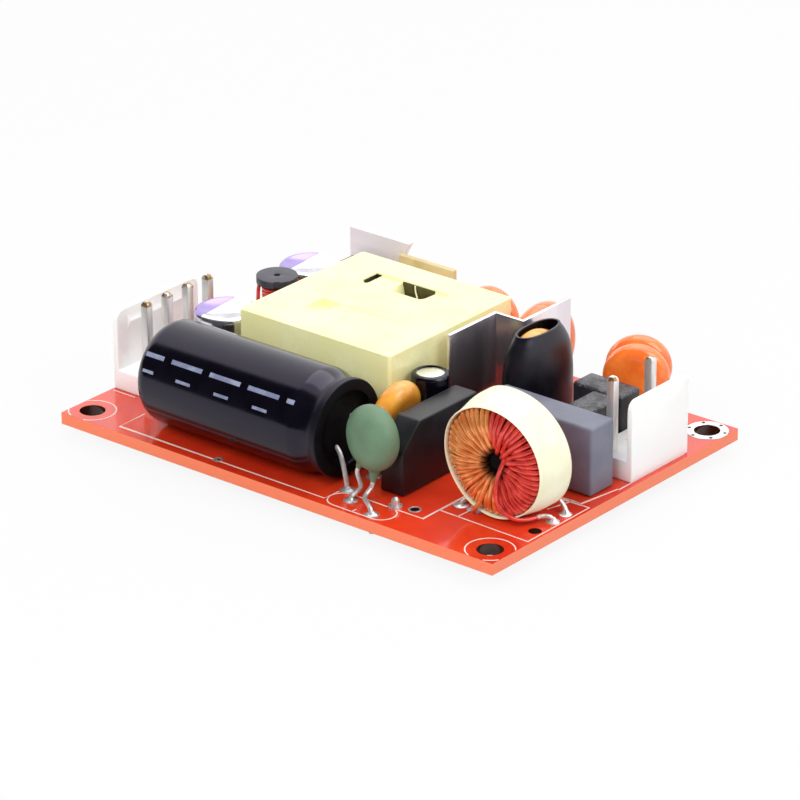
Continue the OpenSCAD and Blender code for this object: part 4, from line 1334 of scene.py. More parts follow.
@dataclass
class BulkCapacitor:
    """The large electrolytic, lying along the front edge.

    Attributes:
        fillet: edge radius of the closed end.
        groove_at: distance of the seal groove from the open end.
        groove: depth of the groove.
        shoulder: length of the slope from the body into the groove.
        lip: how much smaller the rolled lip is than the body.
        rim: edge radius of the rolled lip.
        film: thickness of the sleeve's film.
        opening: radius of the sleeve's opening at the seal.
        crown: radius of the sleeve's opening at the closed end.
        under: how much smaller the can is than its sleeve.
        seal: depth of the can's wall behind the bung.
        bung: radius and depth along the bung's face and side.
        rows: for each row of print its angle from the top towards the front, the width of its
            dashes and where each dash starts and ends along X.
    """

    shop: Workshop
    fillet: float = 2.2
    groove_at: float = 1.65
    groove: float = 0.5
    shoulder: float = 2.8
    lip: float = 0.45
    rim: float = 0.3
    film: float = 0.14
    opening: float = 5.1
    crown: float = 4.3
    under: float = 0.25
    seal: float = 2.6
    bung: tuple[Spot, ...] = (
        (0, 0.7), (3.6, 0.7), (3.8, 0.95), (4.9, 0.95), (5.2, 0.75), (5.43, 1.2), (5.43, 3.2), (0, 3.2),
    )
    rows: tuple[tuple[float, float, tuple[Spot, ...]], ...] = (
        (52, 0.6, ((-22.4, -19.4), (-18.1, -13.0), (-11.7, -6.6), (-5.3, -0.2), (1.1, 2.3))),
        (70, 0.4, ((-22.2, -20.4), (-16.6, -14.2), (-10.2, -7.8), (-3.8, -1.4))),
    )

    def build(self) -> None:
        """Makes the sleeve, the can, the bung and the print."""
        shop = self.shop
        box = shop.box("bulk_sleeve")
        mouth = Matrix.Translation((box.high.x, box.centre.y, box.centre.z))
        lay = mouth @ Matrix.Rotation(-math.pi / 2, 4, "Y")
        radius, length = box.size.y / 2, box.size.x
        skin = CanShape(
            radius, length, self.fillet, self.groove_at, self.groove, self.opening,
            lip=self.lip, shoulder=self.shoulder, rim=self.rim,
        )
        film = Shape().lathe(skin.sleeve(self.film, self.crown), 160)
        shop.form(
            "bulk_sleeve_film", film.move(lay), Slot.BLACK_SLEEVE, 50, ["bulk_sleeve"], Extra.BULK_SKIN
        )
        metal = replace(
            skin, radius=radius - self.under, length=length - 2 * self.under,
            groove_at=self.groove_at - self.under, opening=self.opening + 0.2,
        )
        can = Shape().lathe(
            [(0, self.seal), (self.opening + 0.1, self.seal)] + metal.outline() + [(0, metal.length)], 128
        )
        can.move(Matrix.Translation((-self.under, 0, 0)) @ lay)
        shop.form("bulk_can_drawn", can, Slot.BARE_ALUMINIUM, 50, ["bulk_can"])
        vent = (box.low.x + self.under + 0.01, box.centre.y, box.centre.z)
        score = [Station(vent, turn=(math.radians(turn), 0, 0)) for turn in (0, 60, 120)]
        bar = Shape().box((-0.06, -3.8, -0.12), (0.04, 3.8, 0.12)).finish("score", 30)
        shop.copies("bulk_vent_score", bar, score, Slot.HEADER_PIN)
        rubber = Shape().lathe(self.bung).move(lay)
        shop.form("bulk_bung_rubber", rubber, Slot.BUNG_RUBBER, 35, ["bulk_bung"])
        edge, inner = radius - self.lip, self.opening - 0.1
        fold = Shape().lathe([
            (inner, -0.02), (edge - 0.25, -0.02), (edge - 0.08, 0.06), (edge - 0.2, 0.16), (inner, 0.16),
            (inner, -0.02),
        ])
        shop.form("bulk_sleeve_fold", fold.move(lay), Slot.BUNG_RUBBER, 35)
        self.print_marks(box, radius)

    def print_marks(self, box: Box, radius: float) -> None:
        """Prints two rows of plain dashes on the sleeve.

        Args:
            box: where the sleeve is.
            radius: radius of the sleeve.
        """
        marks = Shape()
        for degrees, width, dashes in self.rows:
            for span in dashes:
                marks.join(self.dash(box.centre, radius, span, math.radians(degrees), width))
        self.shop.form("bulk_print", marks, Slot.BLACK_SLEEVE, 50, look=Extra.SLEEVE_INK)

    @staticmethod
    def dash(centre: Vector, radius: float, span: Spot, angle: float, width: float) -> Shape:
        """Bends one dash round the sleeve.

        Args:
            centre: a point on the sleeve's axis.
            radius: radius of the sleeve.
            span: where the dash starts and ends along X.
            angle: angle of its middle from the top, towards the front.
            width: its width round the sleeve.

        Returns:
            The dash.
        """
        sweep = width / radius
        inner = [(radius - 0.01, angle + sweep * (t - 0.5)) for t in spread(6)]
        section = inner + [(radius + 0.015, a) for _, a in reversed(inner)]
        return Shape().rings([
            [Vector((x, centre.y - r * math.sin(a), centre.z + r * math.cos(a))) for r, a in section]
            for x in span
        ])


@dataclass
class PolymerCapacitors:
    """The two bare polymer cans beside the output header.

    Attributes:
        fillet: edge radius of the top.
        groove_at: distance of the seal groove from the foot.
        groove: depth of the groove.
        crown: radius inside the pressed rim.
        dish: how far the top sinks inside the rim.
    """

    shop: Workshop
    fillet: float = 0.75
    groove_at: float = 1.9
    groove: float = 0.35
    crown: float = 3.35
    dish: float = 0.1

    def build(self) -> None:
        """Makes both cans in one piece."""
        cans = Shape()
        for box in self.shop.islands("polymer_cans"):
            radius, length = box.size.x / 2, box.size.z
            skin = CanShape(
                radius, length, self.fillet, self.groove_at, self.groove, radius - 0.5, self.crown, self.dish
            )
            seal = [(0, 1.4), (radius - 0.75, 1.4)]
            can = Shape().lathe(seal + skin.outline() + [(0, length - self.dish)], 128)
            cans.join(can.move(Matrix.Translation((box.centre.x, box.centre.y, box.low.z))))
        self.shop.form("polymer_cans_drawn", cans, Slot.BARE_ALUMINIUM, 40, ["polymer_cans"])


@dataclass
class SmallCapacitor:
    """The small electrolytic beside the transformer.

    Attributes:
        fillet: edge radius of its top.
        groove_at: distance of the seal groove from the foot.
        groove: depth of the groove.
        crown: radius of the bare metal that shows in the sleeve's mouth.
        film: thickness of the sleeve's film.
        under: how much smaller the can is than its sleeve.
    """

    shop: Workshop
    fillet: float = 0.55
    groove_at: float = 1.6
    groove: float = 0.28
    crown: float = 1.85
    film: float = 0.1
    under: float = 0.15

    def build(self) -> None:
        """Makes the sleeve and the can."""
        shop, under = self.shop, self.under
        box = shop.box("small_sleeve")
        stand = Matrix.Translation((box.centre.x, box.centre.y, box.low.z))
        radius, length = box.size.x / 2, box.size.z
        skin = CanShape(radius, length, self.fillet, self.groove_at, self.groove, radius - 0.7)
        film = Shape().lathe(skin.sleeve(self.film, self.crown)).move(stand)
        shop.form("small_sleeve_film", film, Slot.BLACK_SLEEVE, 50, ["small_sleeve"])
        metal = replace(
            skin, radius=radius - under, length=length - 2 * under, groove_at=self.groove_at - under,
            opening=radius - 0.6,
        )
        seal = [(0, 1.5), (radius - 0.7, 1.5)]
        can = Shape().lathe(seal + metal.outline() + [(0, metal.length)])
        can.move(Matrix.Translation((0, 0, under)) @ stand)
        shop.form("small_can_drawn", can, Slot.BARE_ALUMINIUM, 50, ["small_can"])


# ---------------------------------------------------------------------------------------------
# Wound parts


@dataclass
class ToroidalChoke:
    """The common mode choke: two wound halves on a ring, taped round the outside.

    Attributes:
        turns: turns on each half.
        wire: radius of the wire.
        halves: name, slot, first and last angle in degrees, and seed of each half.
        layers: bore radius of each layer's turns and how far they lie behind the outermost ones.
        order: layer of each turn, repeated.
        oval: how much wider and lower than a circle the wound ring is.
        tape_front: reach of the tape's front edge every 30 degrees.
        tape_back: reach of its rear edge.
        tape_film: thickness of the tape.
        tape_edge: share of the tape's depth that its rounded edges take.
        varnish_and_shade_plug: radius and depth of a near-black plug in the bore, painted shade standing for
            the bore's shadow.
    """

    shop: Workshop
    turns: int = 27
    wire: float = 0.33
    halves: tuple[tuple[str, Slot, float, float, int], ...] = (
        ("choke_red", Slot.RED_ENAMEL, -83, 94.5, 3), ("choke_copper", Slot.COPPER_ENAMEL, 96.5, 276, 8),
    )
    layers: tuple[Spot, ...] = ((2.5, 0.32), (1.8, 0.1), (1.2, 0.0))
    order: tuple[int, ...] = (0, 1, 0, 2)
    oval: Spot = (1.02, 0.985)
    tape_front: tuple[float, ...] = (7.45, 7.4, 7.3, 7.35, 7.7, 7.95, 7.6, 7.2, 7.12, 7.12, 7.15, 7.35)
    tape_back: tuple[float, ...] = (7.9, 7.8, 7.75, 7.95, 8.6, 8.4, 8.1, 7.8, 7.6, 7.4, 7.6, 7.9)
    tape_film: float = 0.2
    tape_edge: float = 0.02
    varnish_and_shade_plug: tuple[Spot, ...] = ((0, -1.4), (1.2, -1.25), (2.1, -0.95), (3.3, -1.0), (3.3, -2.2), (0, -2.2))

    def __post_init__(self) -> None:
        """Takes the winding's place from the frame."""
        ring, winding = self.shop.box("choke_core"), self.shop.box("choke_red_winding")
        self.depth = winding.size.y - 2 * self.wire
        self.centre = Vector((ring.centre.x, winding.low.y + self.wire, ring.centre.z))

    def point(self, radius: float, depth: float, degrees: float) -> Vector:
        """Gives a point by its radius, its depth behind the front face and its angle."""
        x, z = on_circle(radius, math.radians(degrees))
        wide, high = self.oval
        return self.centre + Vector((wide * x, depth, high * z))

    def edge(self, degrees: float) -> float:
        """Gives how far the winding reaches out to the tape's front edge at an angle."""
        at = (degrees / 30) % 12
        low = int(at)
        blend = at - low
        reach = self.tape_front[low] * (1 - blend) + self.tape_front[(low + 1) % 12] * blend
        level = abs(math.cos(math.radians(degrees))) > 0.7
        return (reach - self.tape_film - self.wire - 0.03) / self.oval[0 if level else 1]

    def turn_stops(self, bore: float, lift: float, reach: float) -> tuple[tuple[float, ...], ...]:
        """Lists where one turn passes, from the bore over the front and round the back.

        Args:
            bore: radius of the turn in the bore.
            lift: how far it lies behind the outermost turns.
            reach: radius of the turn under the tape.

        Returns:
            Radius, depth, share of the way to the next turn and share of the skew of each stop.
        """
        back = self.depth
        return (
            (bore, back / 2, 0.0, 1.0), (bore, lift + 1.5, 0.0, 1.0),
            (bore + 0.22, lift + 0.75, 0.0, 0.9), (bore + 0.75, lift + 0.2, 0.0, 0.6),
            (4.7, lift * 0.7 - 0.2, 0.0, 0.15), (5.8, 0.02 + lift * 0.3, 0.0, 0.0),
            (reach - 0.2, 0.45, 0.0, 0.0), (reach, 1.1, 0.05, 0.0),
            (reach, back / 2, 0.12, 0.0), (reach, back - 1.2, 0.2, 0.0),
            (reach - 0.2, back - 0.5, 0.26, 0.0), (5.8, back - 0.02 - lift * 0.3, 0.34, 0.0),
            (4.7, back - lift * 0.7 + 0.2, 0.5, 0.15), (bore + 0.75, back - lift - 0.2, 0.75, 0.6),
            (bore + 0.22, back - lift - 0.75, 0.85, 0.9), (bore, back - lift - 1.5, 0.92, 1.0),
        )

    def half(self, start: float, end: float, seed: int) -> list[Vector]:
        """Winds one half.

        Args:
            start: angle of its first turn, in degrees.
            end: angle of its last turn.
            seed: seed of the small irregularities.

        Returns:
            The wire's path.
        """
        chance = random.Random(seed)
        pitch = (end - start) / self.turns
        stops: list[Vector] = []
        for turn in range(self.turns):
            angle = start + (turn + 0.5) * pitch + chance.uniform(-0.12, 0.12) * pitch
            bore, lift = self.layers[self.order[turn % len(self.order)]]
            bore += chance.uniform(-0.08, 0.08)
            lift += chance.uniform(0.0, 0.05)
            skew = chance.uniform(-2.5, 2.5) + 3.0
            stops += [
                self.point(radius, depth, angle + share * pitch + skew * bend)
                for radius, depth, share, bend in self.turn_stops(bore, lift, self.edge(angle))
            ]
        return catmull(stops, 4)

    def build(self) -> None:
        """Makes both halves, the tape, the leads and the plug of painted shade in the bore."""
        shop = self.shop
        for name, slot, start, end, seed in self.halves:
            wires = [self.half(start, end, seed)]
            shop.wiring(name + "_turns", wires, self.wire, 10, slot, [name + "_winding"])
        self.build_tape()
        self.build_leads()
        front = Matrix.Translation((self.centre.x, self.centre.y - self.wire, self.centre.z))
        # A near-black plug sunk in the bore: painted shade standing for its shadow.
        shade_plug_shape = Shape().lathe(self.varnish_and_shade_plug, 48).move(front @ Matrix.Rotation(math.pi / 2, 4, "X"))
        shop.form("choke_bore_varnish", shade_plug_shape, Slot.BUNG_RUBBER, 60)

    def build_tape(self) -> None:
        """Makes the band of tape, drawn in round the winding's front face."""
        shares = [self.tape_edge + (1 - 2 * self.tape_edge) * t for t in spread(12)]
        walls = [self.tape_loop(share, 0.0) for share in shares]
        walls.append(self.tape_loop(1.0, self.tape_film / 2))
        walls += [self.tape_loop(share, self.tape_film) for share in reversed(shares)]
        walls.append(self.tape_loop(0.0, self.tape_film / 2))
        band = Shape().rings(walls, closed=True)
        self.shop.form("choke_tape_band", band, Slot.CREAM_TAPE, 50, ["choke_tape"])

    def tape_loop(self, share: float, inset: float) -> list[Vector]:
        """Gives the band's outline at a share of its depth.

        Args:
            share: share of the depth, from the front.
            inset: how far inside the band's outer face the outline lies.

        Returns:
            The outline's points.
        """
        box = self.shop.box("choke_tape")
        blend = rise(share, 0.0, 0.7)
        knots = [
            Vector((near + (far - near) * blend - inset, 0, 0))
            for near, far in zip(self.tape_front, self.tape_back)
        ]
        reach = catmull(knots, 6, closed=True)
        middle = Vector((self.centre.x, box.low.y + box.size.y * share, self.centre.z))
        loop = []
        for k, r in enumerate(reach):
            x, z = on_circle(r.x, 2 * math.pi * k / len(reach))
            loop.append(middle + Vector((x, 0, z)))
        return loop

    def build_leads(self) -> None:
        """Makes the enamelled run of each lead and its tinned end."""
        face = self.centre.y - 0.3
        red = (
            ((29.5, face + 1.3, 10.6), (29.75, face + 0.15, 9.9), (29.45, face - 0.38, 8.4),
             (29.15, face - 0.45, 6.9), (29.1, face - 0.42, 5.3), (29.5, face - 0.35, 4.3),
             (30.4, face - 0.28, 3.5), (31.3, -16.2, 3.05), (32.0, -15.2, 2.62), (32.4, -13.9, 2.4),
             (32.7, -12.9, 2.35)),
            ((30, -9.6, 3), (31.9, -7.9, 3), (32.6, -8.0, 2.7)),
        )
        copper = (
            ((26.3, face + 0.1, 3.9), (25.8, face - 0.1, 3.0), (25.2, -15.9, 2.3), (24.6, -15.3, 2.05)),
            ((26, -9.6, 3), (23.4, -9.2, 2.1), (22.8, -11.5, 2.05)),
        )
        ends = (
            ((32.7, -12.9, 2.35), (33.2, -12.2, 2.4), (33.85, -11.6, 2.15), (34, -11.43, 1.0),
             (34, -11.43, LEAD_END)),
            ((32.6, -8.0, 2.7), (33.3, -8.35, 2.45), (33.85, -8.7, 2.1), (33.9, -8.73, 1.0),
             (33.9, -8.73, LEAD_END)),
            ((24.6, -15.3, 2.05), (24.2, -14.95, 1.9), (24, -14.85, 1.5), (24, -14.85, 1.0),
             (24, -14.85, LEAD_END)),
            ((22.8, -11.5, 2.05), (22.3, -13.8, 2.0), (22.2, -14.7, 1.8), (22.2, -14.8, 1.0),
             (22.2, -14.8, LEAD_END)),
        )
        for name, runs, radius, slot, replaces, look in (
            ("choke_red_tails", red, self.wire - 0.05, Slot.RED_ENAMEL, (), Extra.RED_TAIL),
            ("choke_copper_tails", copper, self.wire - 0.05, Slot.COPPER_ENAMEL, (), Extra.COPPER_TAIL),
            ("choke_tinned_ends", ends, self.wire - 0.03, Slot.TINNED_WIRE, ("choke_leads",), None),
        ):
            self.shop.wiring(name, [curve_through(run) for run in runs], radius, 14, slot, replaces, look)


@dataclass
class DrumChoke:
    """The output filter choke on a drum of ferrite.

    Attributes:
        wire: radius of its wire.
        start: angle where the winding starts, in radians.
        tail: where the lead comes down, from the drum's axis.
    """

    shop: Workshop
    wire: float = 0.26
    start: float = -2.4
    tail: Spot = (-1.95, -1.6)

    def build(self) -> None:
        """Winds the drum and rounds its flanges."""
        shop = self.shop
        box = shop.box("drum_choke_winding")
        middle = box.centre
        radius = box.size.x / 2 - self.wire
        turns = int(box.size.z / (2 * self.wire + 0.015))
        rise = (box.size.z - 2 * self.wire) / turns
        steps = 40
        path = []
        for k in range(turns * steps + 1):
            x, y = on_circle(radius, 2 * math.pi * k / steps + self.start)
            path.append(Vector((middle.x + x, middle.y + y, box.low.z + self.wire + rise * k / steps)))
        x, y = middle.x + self.tail[0], middle.y + self.tail[1]
        tail = [path[-1], (x + 0.25, y + 0.25, box.high.z - 0.1), (x, y, 11.2), (x, y, 6), (x, y, 2.4)]
        shop.wiring(
            "drum_choke_turns", [path, curve_through(tail)], self.wire, 10, Slot.RED_ENAMEL,
            ["drum_choke_winding"],
        )
        shop.soften("drum_choke_core", Slot.DRUM_FERRITE, 0.12)


# ---------------------------------------------------------------------------------------------
# Coated parts


@dataclass
class Coat:
    """Dipped coating over a disc and the tops of its leads.

    Attributes:
        at: centre of the disc.
        azimuth: direction of the disc's plane, in degrees from X.
        radius: radius of the coated disc.
        thickness: its thickness.
        legs: top, foot, top radius and foot radius of the coating on each lead.
        lean: how far the disc leans towards +X, in degrees.
    """

    at: Point
    azimuth: float
    radius: float
    thickness: float
    legs: tuple[tuple[Point, Point, float, float], ...]
    lean: float = 0.0

    @classmethod
    def upright(
        cls, at: Point, azimuth: float, radius: float, thickness: float, foot: float = 3.0, lean: float = 0.0
    ) -> "Coat":
        """Describes a disc that stands on two straight leads.

        Args:
            at: centre of the disc.
            azimuth: direction of its plane, in degrees from X.
            radius: radius of the coated disc.
            thickness: its thickness.
            foot: height where the coating on the leads ends.
            lean: how far it leans towards +X, in degrees.

        Returns:
            The coating.
        """
        legs = []
        for side in (-DISC_PITCH / 2, DISC_PITCH / 2):
            dx, dy = on_circle(side, math.radians(azimuth))
            x, y = at[0] + dx, at[1] + dy
            legs.append(((x, y, at[2] - radius * 0.35), (x, y, foot), thickness / 2 - 0.2, 0.46))
        return cls(at, azimuth, radius, thickness, tuple(legs), lean)

    def shape(self) -> Shape:
        """Makes the disc and its legs, still overlapping."""
        half = self.thickness / 2
        edge = half * 1.15
        profile = [(0.0, -half)]
        for t in spread(16):
            angle = math.pi * t - math.pi / 2
            bulge = max(0.0, math.cos(angle)) ** 0.9
            profile.append((self.radius - edge + edge * bulge, half * math.sin(angle)))
        profile.append((0.0, half))
        turn = Matrix.Rotation(math.radians(self.azimuth), 4, "Z") @ Matrix.Rotation(math.pi / 2, 4, "X")
        lean = Matrix.Rotation(math.radians(self.lean), 4, "Y")
        disc = Shape().lathe(profile, 72).move(Matrix.Translation(self.at) @ lean @ turn)
        for top, foot, wide, narrow in self.legs:
            disc.join(self.leg(Vector(top), Vector(foot), wide, narrow))
        return disc

    @staticmethod
    def leg(top: Vector, foot: Vector, wide: float, narrow: float) -> Shape:
        """Makes the coating on one lead, which narrows downwards.

        Args:
            top: its upper end, inside the disc.
            foot: its lower end.
            wide: its radius at the top.
            narrow: its radius at the foot.

        Returns:
            The leg.
        """
        along = top - foot
        across = along.orthogonal().normalized()
        side = along.normalized().cross(across)
        around = [across * math.cos(a) + side * math.sin(a) for a in (math.pi * j / 10 for j in range(20))]
        rings = []
        for t in spread(8):
            radius = narrow + (wide - narrow) * t**1.6
            rings.append([foot + along * t + radius * spoke for spoke in around])
        return Shape().rings(rings)


@dataclass
class CoatedParts:
    """The dipped discs: ceramic capacitors, Y capacitor and thermistor.

    Attributes:
        voxel: size of the remesh that runs the coatings together.
        passes: smoothing passes after it.
    """

    shop: Workshop
    voxel: float = 0.13
    passes: int = 9

    def dip(self, name: str, coats: Sequence[Coat], slot: Slot, node: str) -> None:
        """Runs a coating over some discs.

        Args:
            name: name of the piece.
            coats: the coated discs.
            slot: finish of the coating.
            node: CAD node that it stands for.
        """
        shape = Shape()
        for coat in coats:
            shape.join(coat.shape())
        data = applied(
            shape.finish(name),
            ("REMESH", {"mode": "VOXEL", "voxel_size": self.voxel * MM}),
            ("SMOOTH", {"factor": 0.5, "iterations": self.passes}),
        )
        self.shop.piece(name, smooth(data, 180), slot, [node])

    def build(self) -> None:
        """Makes all coated parts."""
        discs = [
            Coat.upright((24, 18.9, 8.05), 33, 4.35, 3.0),
            Coat.upright((22.1, 22, 7.8), 33, 4.35, 3.0),
            Coat.upright((9.6, 17.6, 8.4), 90, 6.3, 3.4),
            Coat.upright((-2.3, 22.3, 8.0), 0, 4.35, 3.0),
        ]
        self.dip("disc_capacitor_coats", discs, Slot.ORANGE_COAT, "disc_capacitors")
        leaning = Coat.upright((8.4, -10.6, 9.3), 90, 3.95, 3.0, lean=16)
        self.dip("y_capacitor_coat", [leaning], Slot.AMBER_COAT, "y_capacitor_body")
        thermistor = Coat((12.4, -20, 9.8), -17, 4.25, 4.6, (
            ((10.9, -19.4, 7.4), (10.0, -20.0, 5.0), 1.5, 0.42),
            ((12.95, -20.05, 7.0), (12.7, -20.4, 4.0), 1.5, 0.42),
        ))
        self.dip("thermistor_coat", [thermistor], Slot.THERMISTOR_COAT, "thermistor_body")
        varistor = Coat.upright((15.5, 8.5, 10.35), 90, 5.2, 3.2, 4.0)
        self.dip("varistor_coat", [varistor], Slot.AMBER_COAT, "varistor_disc")


@dataclass
class ShrunkSleeve:
    """The heat-shrink tube over the varistor.

    Attributes:
        wall: thickness of the tube.
        sections: half width along X, half width along Y and height of each section.
        crease: depth of its soft folds.
    """

    shop: Workshop
    wall: float = 0.3
    sections: tuple[Point, ...] = (
        (2.7, 6.35, 2.0), (2.72, 6.4, 5.0), (2.72, 6.4, 8.4), (2.68, 6.25, 10.4), (2.58, 6.0, 12.0),
        (2.4, 5.55, 13.3), (2.1, 4.8, 14.5), (1.86, 4.15, 15.3), (1.78, 3.95, 15.6),
    )
    crease: float = 0.035

    def build(self) -> None:
        """Makes the tube with its soft folds."""
        outer = curve_through(self.sections, 5)
        walls = [self.ring(s, 0.0) for s in outer] + [self.ring(s, self.wall) for s in reversed(outer)]
        tube = Shape().rings(walls, closed=True)
        self.shop.form("varistor_tube", tube, Slot.BLACK_SLEEVE, 50, ["varistor_sleeve"], Extra.SHRUNK)

    def ring(self, section: Vector, inset: float) -> list[Vector]:
        """Gives one rounded, slightly folded outline of the tube.

        Args:
            section: its half width along X, its half width along Y and its height.
            inset: how far inside them the outline lies.

        Returns:
            The outline's points.
        """
        middle = self.shop.box("varistor_sleeve").centre
        middle.z = 0
        points = []
        for k in range(72):
            angle = 2 * math.pi * k / 72
            fold = self.crease * math.sin(5 * angle + section.z * 0.35) * math.sin(section.z * 0.2)
            x, y = (math.copysign(abs(v) ** 0.92, v) for v in on_circle(1.0, angle))
            wide, deep = section.x - inset + fold, section.y - inset + fold
            points.append(middle + Vector((wide * x, deep * y, section.z)))
        return points


# ---------------------------------------------------------------------------------------------
# Moulded and sheet parts


@dataclass
class MouldedParts:
    """Parts whose CAD shape is right and only lacks its rounded edges.

    Attributes:
        edges: slot and edge rounding of each node.
    """

    shop: Workshop
    edges: dict[str, tuple[Slot, float]] = field(default_factory=lambda: {
        "transformer_core_left": (Slot.FERRITE, 0.2),
        "transformer_core_right": (Slot.FERRITE, 0.2),
        "transformer_bobbin": (Slot.BOBBIN_PLASTIC, 0.1),
        "transformer_tape": (Slot.YELLOW_TAPE, 0.12),
        "output_header_base": (Slot.HEADER_PLASTIC, 0.12),
        "input_header_base": (Slot.HEADER_PLASTIC, 0.12),
        "output_header_pins": (Slot.HEADER_PIN, 0.06),
        "input_header_pins": (Slot.HEADER_PIN, 0.06),
        "rectifier_body": (Slot.BLACK_EPOXY, 0.25),
        "film_case": (Slot.FILM_PLASTIC, 0.4),
        "fuse_bodies": (Slot.FUSE_PLASTIC, 0.4),
        "rear_heatsink": (Slot.REAR_PLATE, 0.1),
        "insulator_strip": (Slot.BEIGE_BOARD, 0.06),
        "diode_body": (Slot.BLACK_EPOXY, 0.15),
        "diode_screw": (Slot.ZINC_SCREW, 0.15),
        "controller_chip": (Slot.BLACK_EPOXY, 0.08),
        "optocoupler": (Slot.BLACK_EPOXY, 0.08),
        "chip_parts": (Slot.CHIP_BODY, 0.06),
    })

    def build(self) -> None:
        """Rounds the edges of every part."""
        for node, (slot, width) in self.edges.items():
            self.shop.soften(node, slot, width)


@dataclass
class FoldedPlate:
    """The folded heatsink, as the thin sheet that its visible faces belong to.

    Attributes:
        sheet: thickness of the sheet.
        fold_x: X of the front leg's visible face.
        fold_y: Y of the middle leg's visible face.
        feet: X and Y of its two solder pins.
    """

    shop: Workshop
    sheet: float = 0.5
    fold_x: float = 7.9
    fold_y: float = 10.2
    feet: tuple[Spot, ...] = ((7.4, 2.4), (11.9, 18.6))

    def build(self) -> None:
        """Makes the plate and its pins."""
        shop = self.shop
        box, level = shop.box("heatsink"), shop.box("board").high.z
        t, x, y, far = self.sheet, self.fold_x, self.fold_y, box.high.x
        plan = [
            (x - t, box.low.y), (x, box.low.y), (x, y), (far, y), (far, box.high.y), (far - t, box.high.y),
            (far - t, y + t), (x - t, y + t),
        ]
        plate = Shape().rings([[Vector((*p, z)) for p in plan] for z in (level, box.high.z)])
        data = rounded(plate.finish("heatsink_sheet"), 0.08, 2)
        shop.piece("heatsink_sheet", data, Slot.HEATSINK_METAL, ["heatsink"])
        pins = [[Vector((*foot, LEAD_END)), Vector((*foot, level + 0.5))] for foot in self.feet]
        shop.wiring("heatsink_pins", pins, 0.4, 16, Slot.TINNED_WIRE)


@dataclass
class TransformerWindows:
    """The tape of the winding, seen in the two windows of the transformer's top.

    Attributes:
        strip: half width of the strip between the windows.
        reach: distance of the windows' outer edges from the middle.
        ends: where the windows end along X.
        gap: where the tape leaves the dark inside open, along X.
        corner: X up to which the rear window's corner is open.
        foot: height down to which the tape reaches.
    """

    shop: Workshop
    strip: float = 3.0
    reach: float = 8.1
    ends: Spot = (-13.1, -0.9)
    gap: Spot = (-8.4, -3.6)
    corner: float = -12.2
    foot: float = 12.2

    def front_depth(self, x: float, across: float) -> float:
        """Gives how deep the front window's tape lies, from a share of the window's width."""
        return 0.14 + 0.8 * (1 - rise(x, self.ends[0], -9.0)) * rise(across, 0.1, 0.9)

    def rear_depth(self, x: float, across: float) -> float:
        """Gives how deep the rear window's tape lies, from a share of the window's width."""
        low, high = self.gap
        open_share = rise(x, low - 0.25, low + 0.25) * (1 - rise(x, high - 0.5, high + 0.6))
        corner = (1 - rise(x, -12.75, -12.35)) * rise(across, 0.4, 0.5)
        return 0.35 + 2.2 * open_share * rise(across, 0.35, 0.95) + 1.0 * corner

    def depth(self, x: float, across: float, rear: bool) -> float:
        """Gives how deep the tape lies, with its edge turned up over the window's walls.

        Args:
            x: place along the window.
            across: share of the window's width.
            rear: whether it is the rear window.

        Returns:
            The depth under the transformer's top.
        """
        low, high = self.gap
        bare = rear and (low < x < high or x < self.corner and across > 0.45)
        at_wall = across in (0.0, 1.0) or min(x - self.ends[0], self.ends[1] - x) < 0.1
        if at_wall and not bare:
            return 0.05
        return self.rear_depth(x, across) if rear else self.front_depth(x, across)

    def build(self) -> None:
        """Makes the tape of both windows and what shows in the rear one's gap."""
        shop = self.shop
        box, top = shop.box("transformer_winding"), shop.box("transformer_tape").high.z
        middle, width = box.centre.y, self.reach - self.strip
        shares = [0.0, *(0.02 + 0.96 * t for t in spread(16)), 1.0]
        tape = Shape()
        for start, rear in ((middle - self.reach, False), (middle + self.strip, True)):
            rings = []
            for x in (box.low.x + box.size.x * t for t in spread(60)):
                upper = [Vector((x, start + width * v, top - self.depth(x, v, rear))) for v in shares]
                rings.append([Vector((x, start, self.foot)), *upper, Vector((x, start + width, self.foot))])
            tape.join(Shape().rings(rings))
        shop.form("window_tape", tape, Slot.YELLOW_TAPE, 60)
        back = middle + self.reach
        low, high = self.gap
        shade = Shape().box((low - 0.2, back - 0.16, 12.4), (high + 0.3, back - 0.02, top - 0.18))
        shop.form("window_shade", shade, Slot.BOBBIN_PLASTIC, 30, look=Extra.SHADE)
        strand = curve_through([
            (-6.5, back - 0.2, top - 0.15), (-6.35, back - 0.32, 14.2), (-5.9, back - 0.5, 13.3),
            (-5.6, back - 0.9, 12.9),
        ], 6)
        shop.wiring("window_strand", [strand], 0.11, 10, Slot.CREAM_TAPE)


# ---------------------------------------------------------------------------------------------
# Wires, solder and print


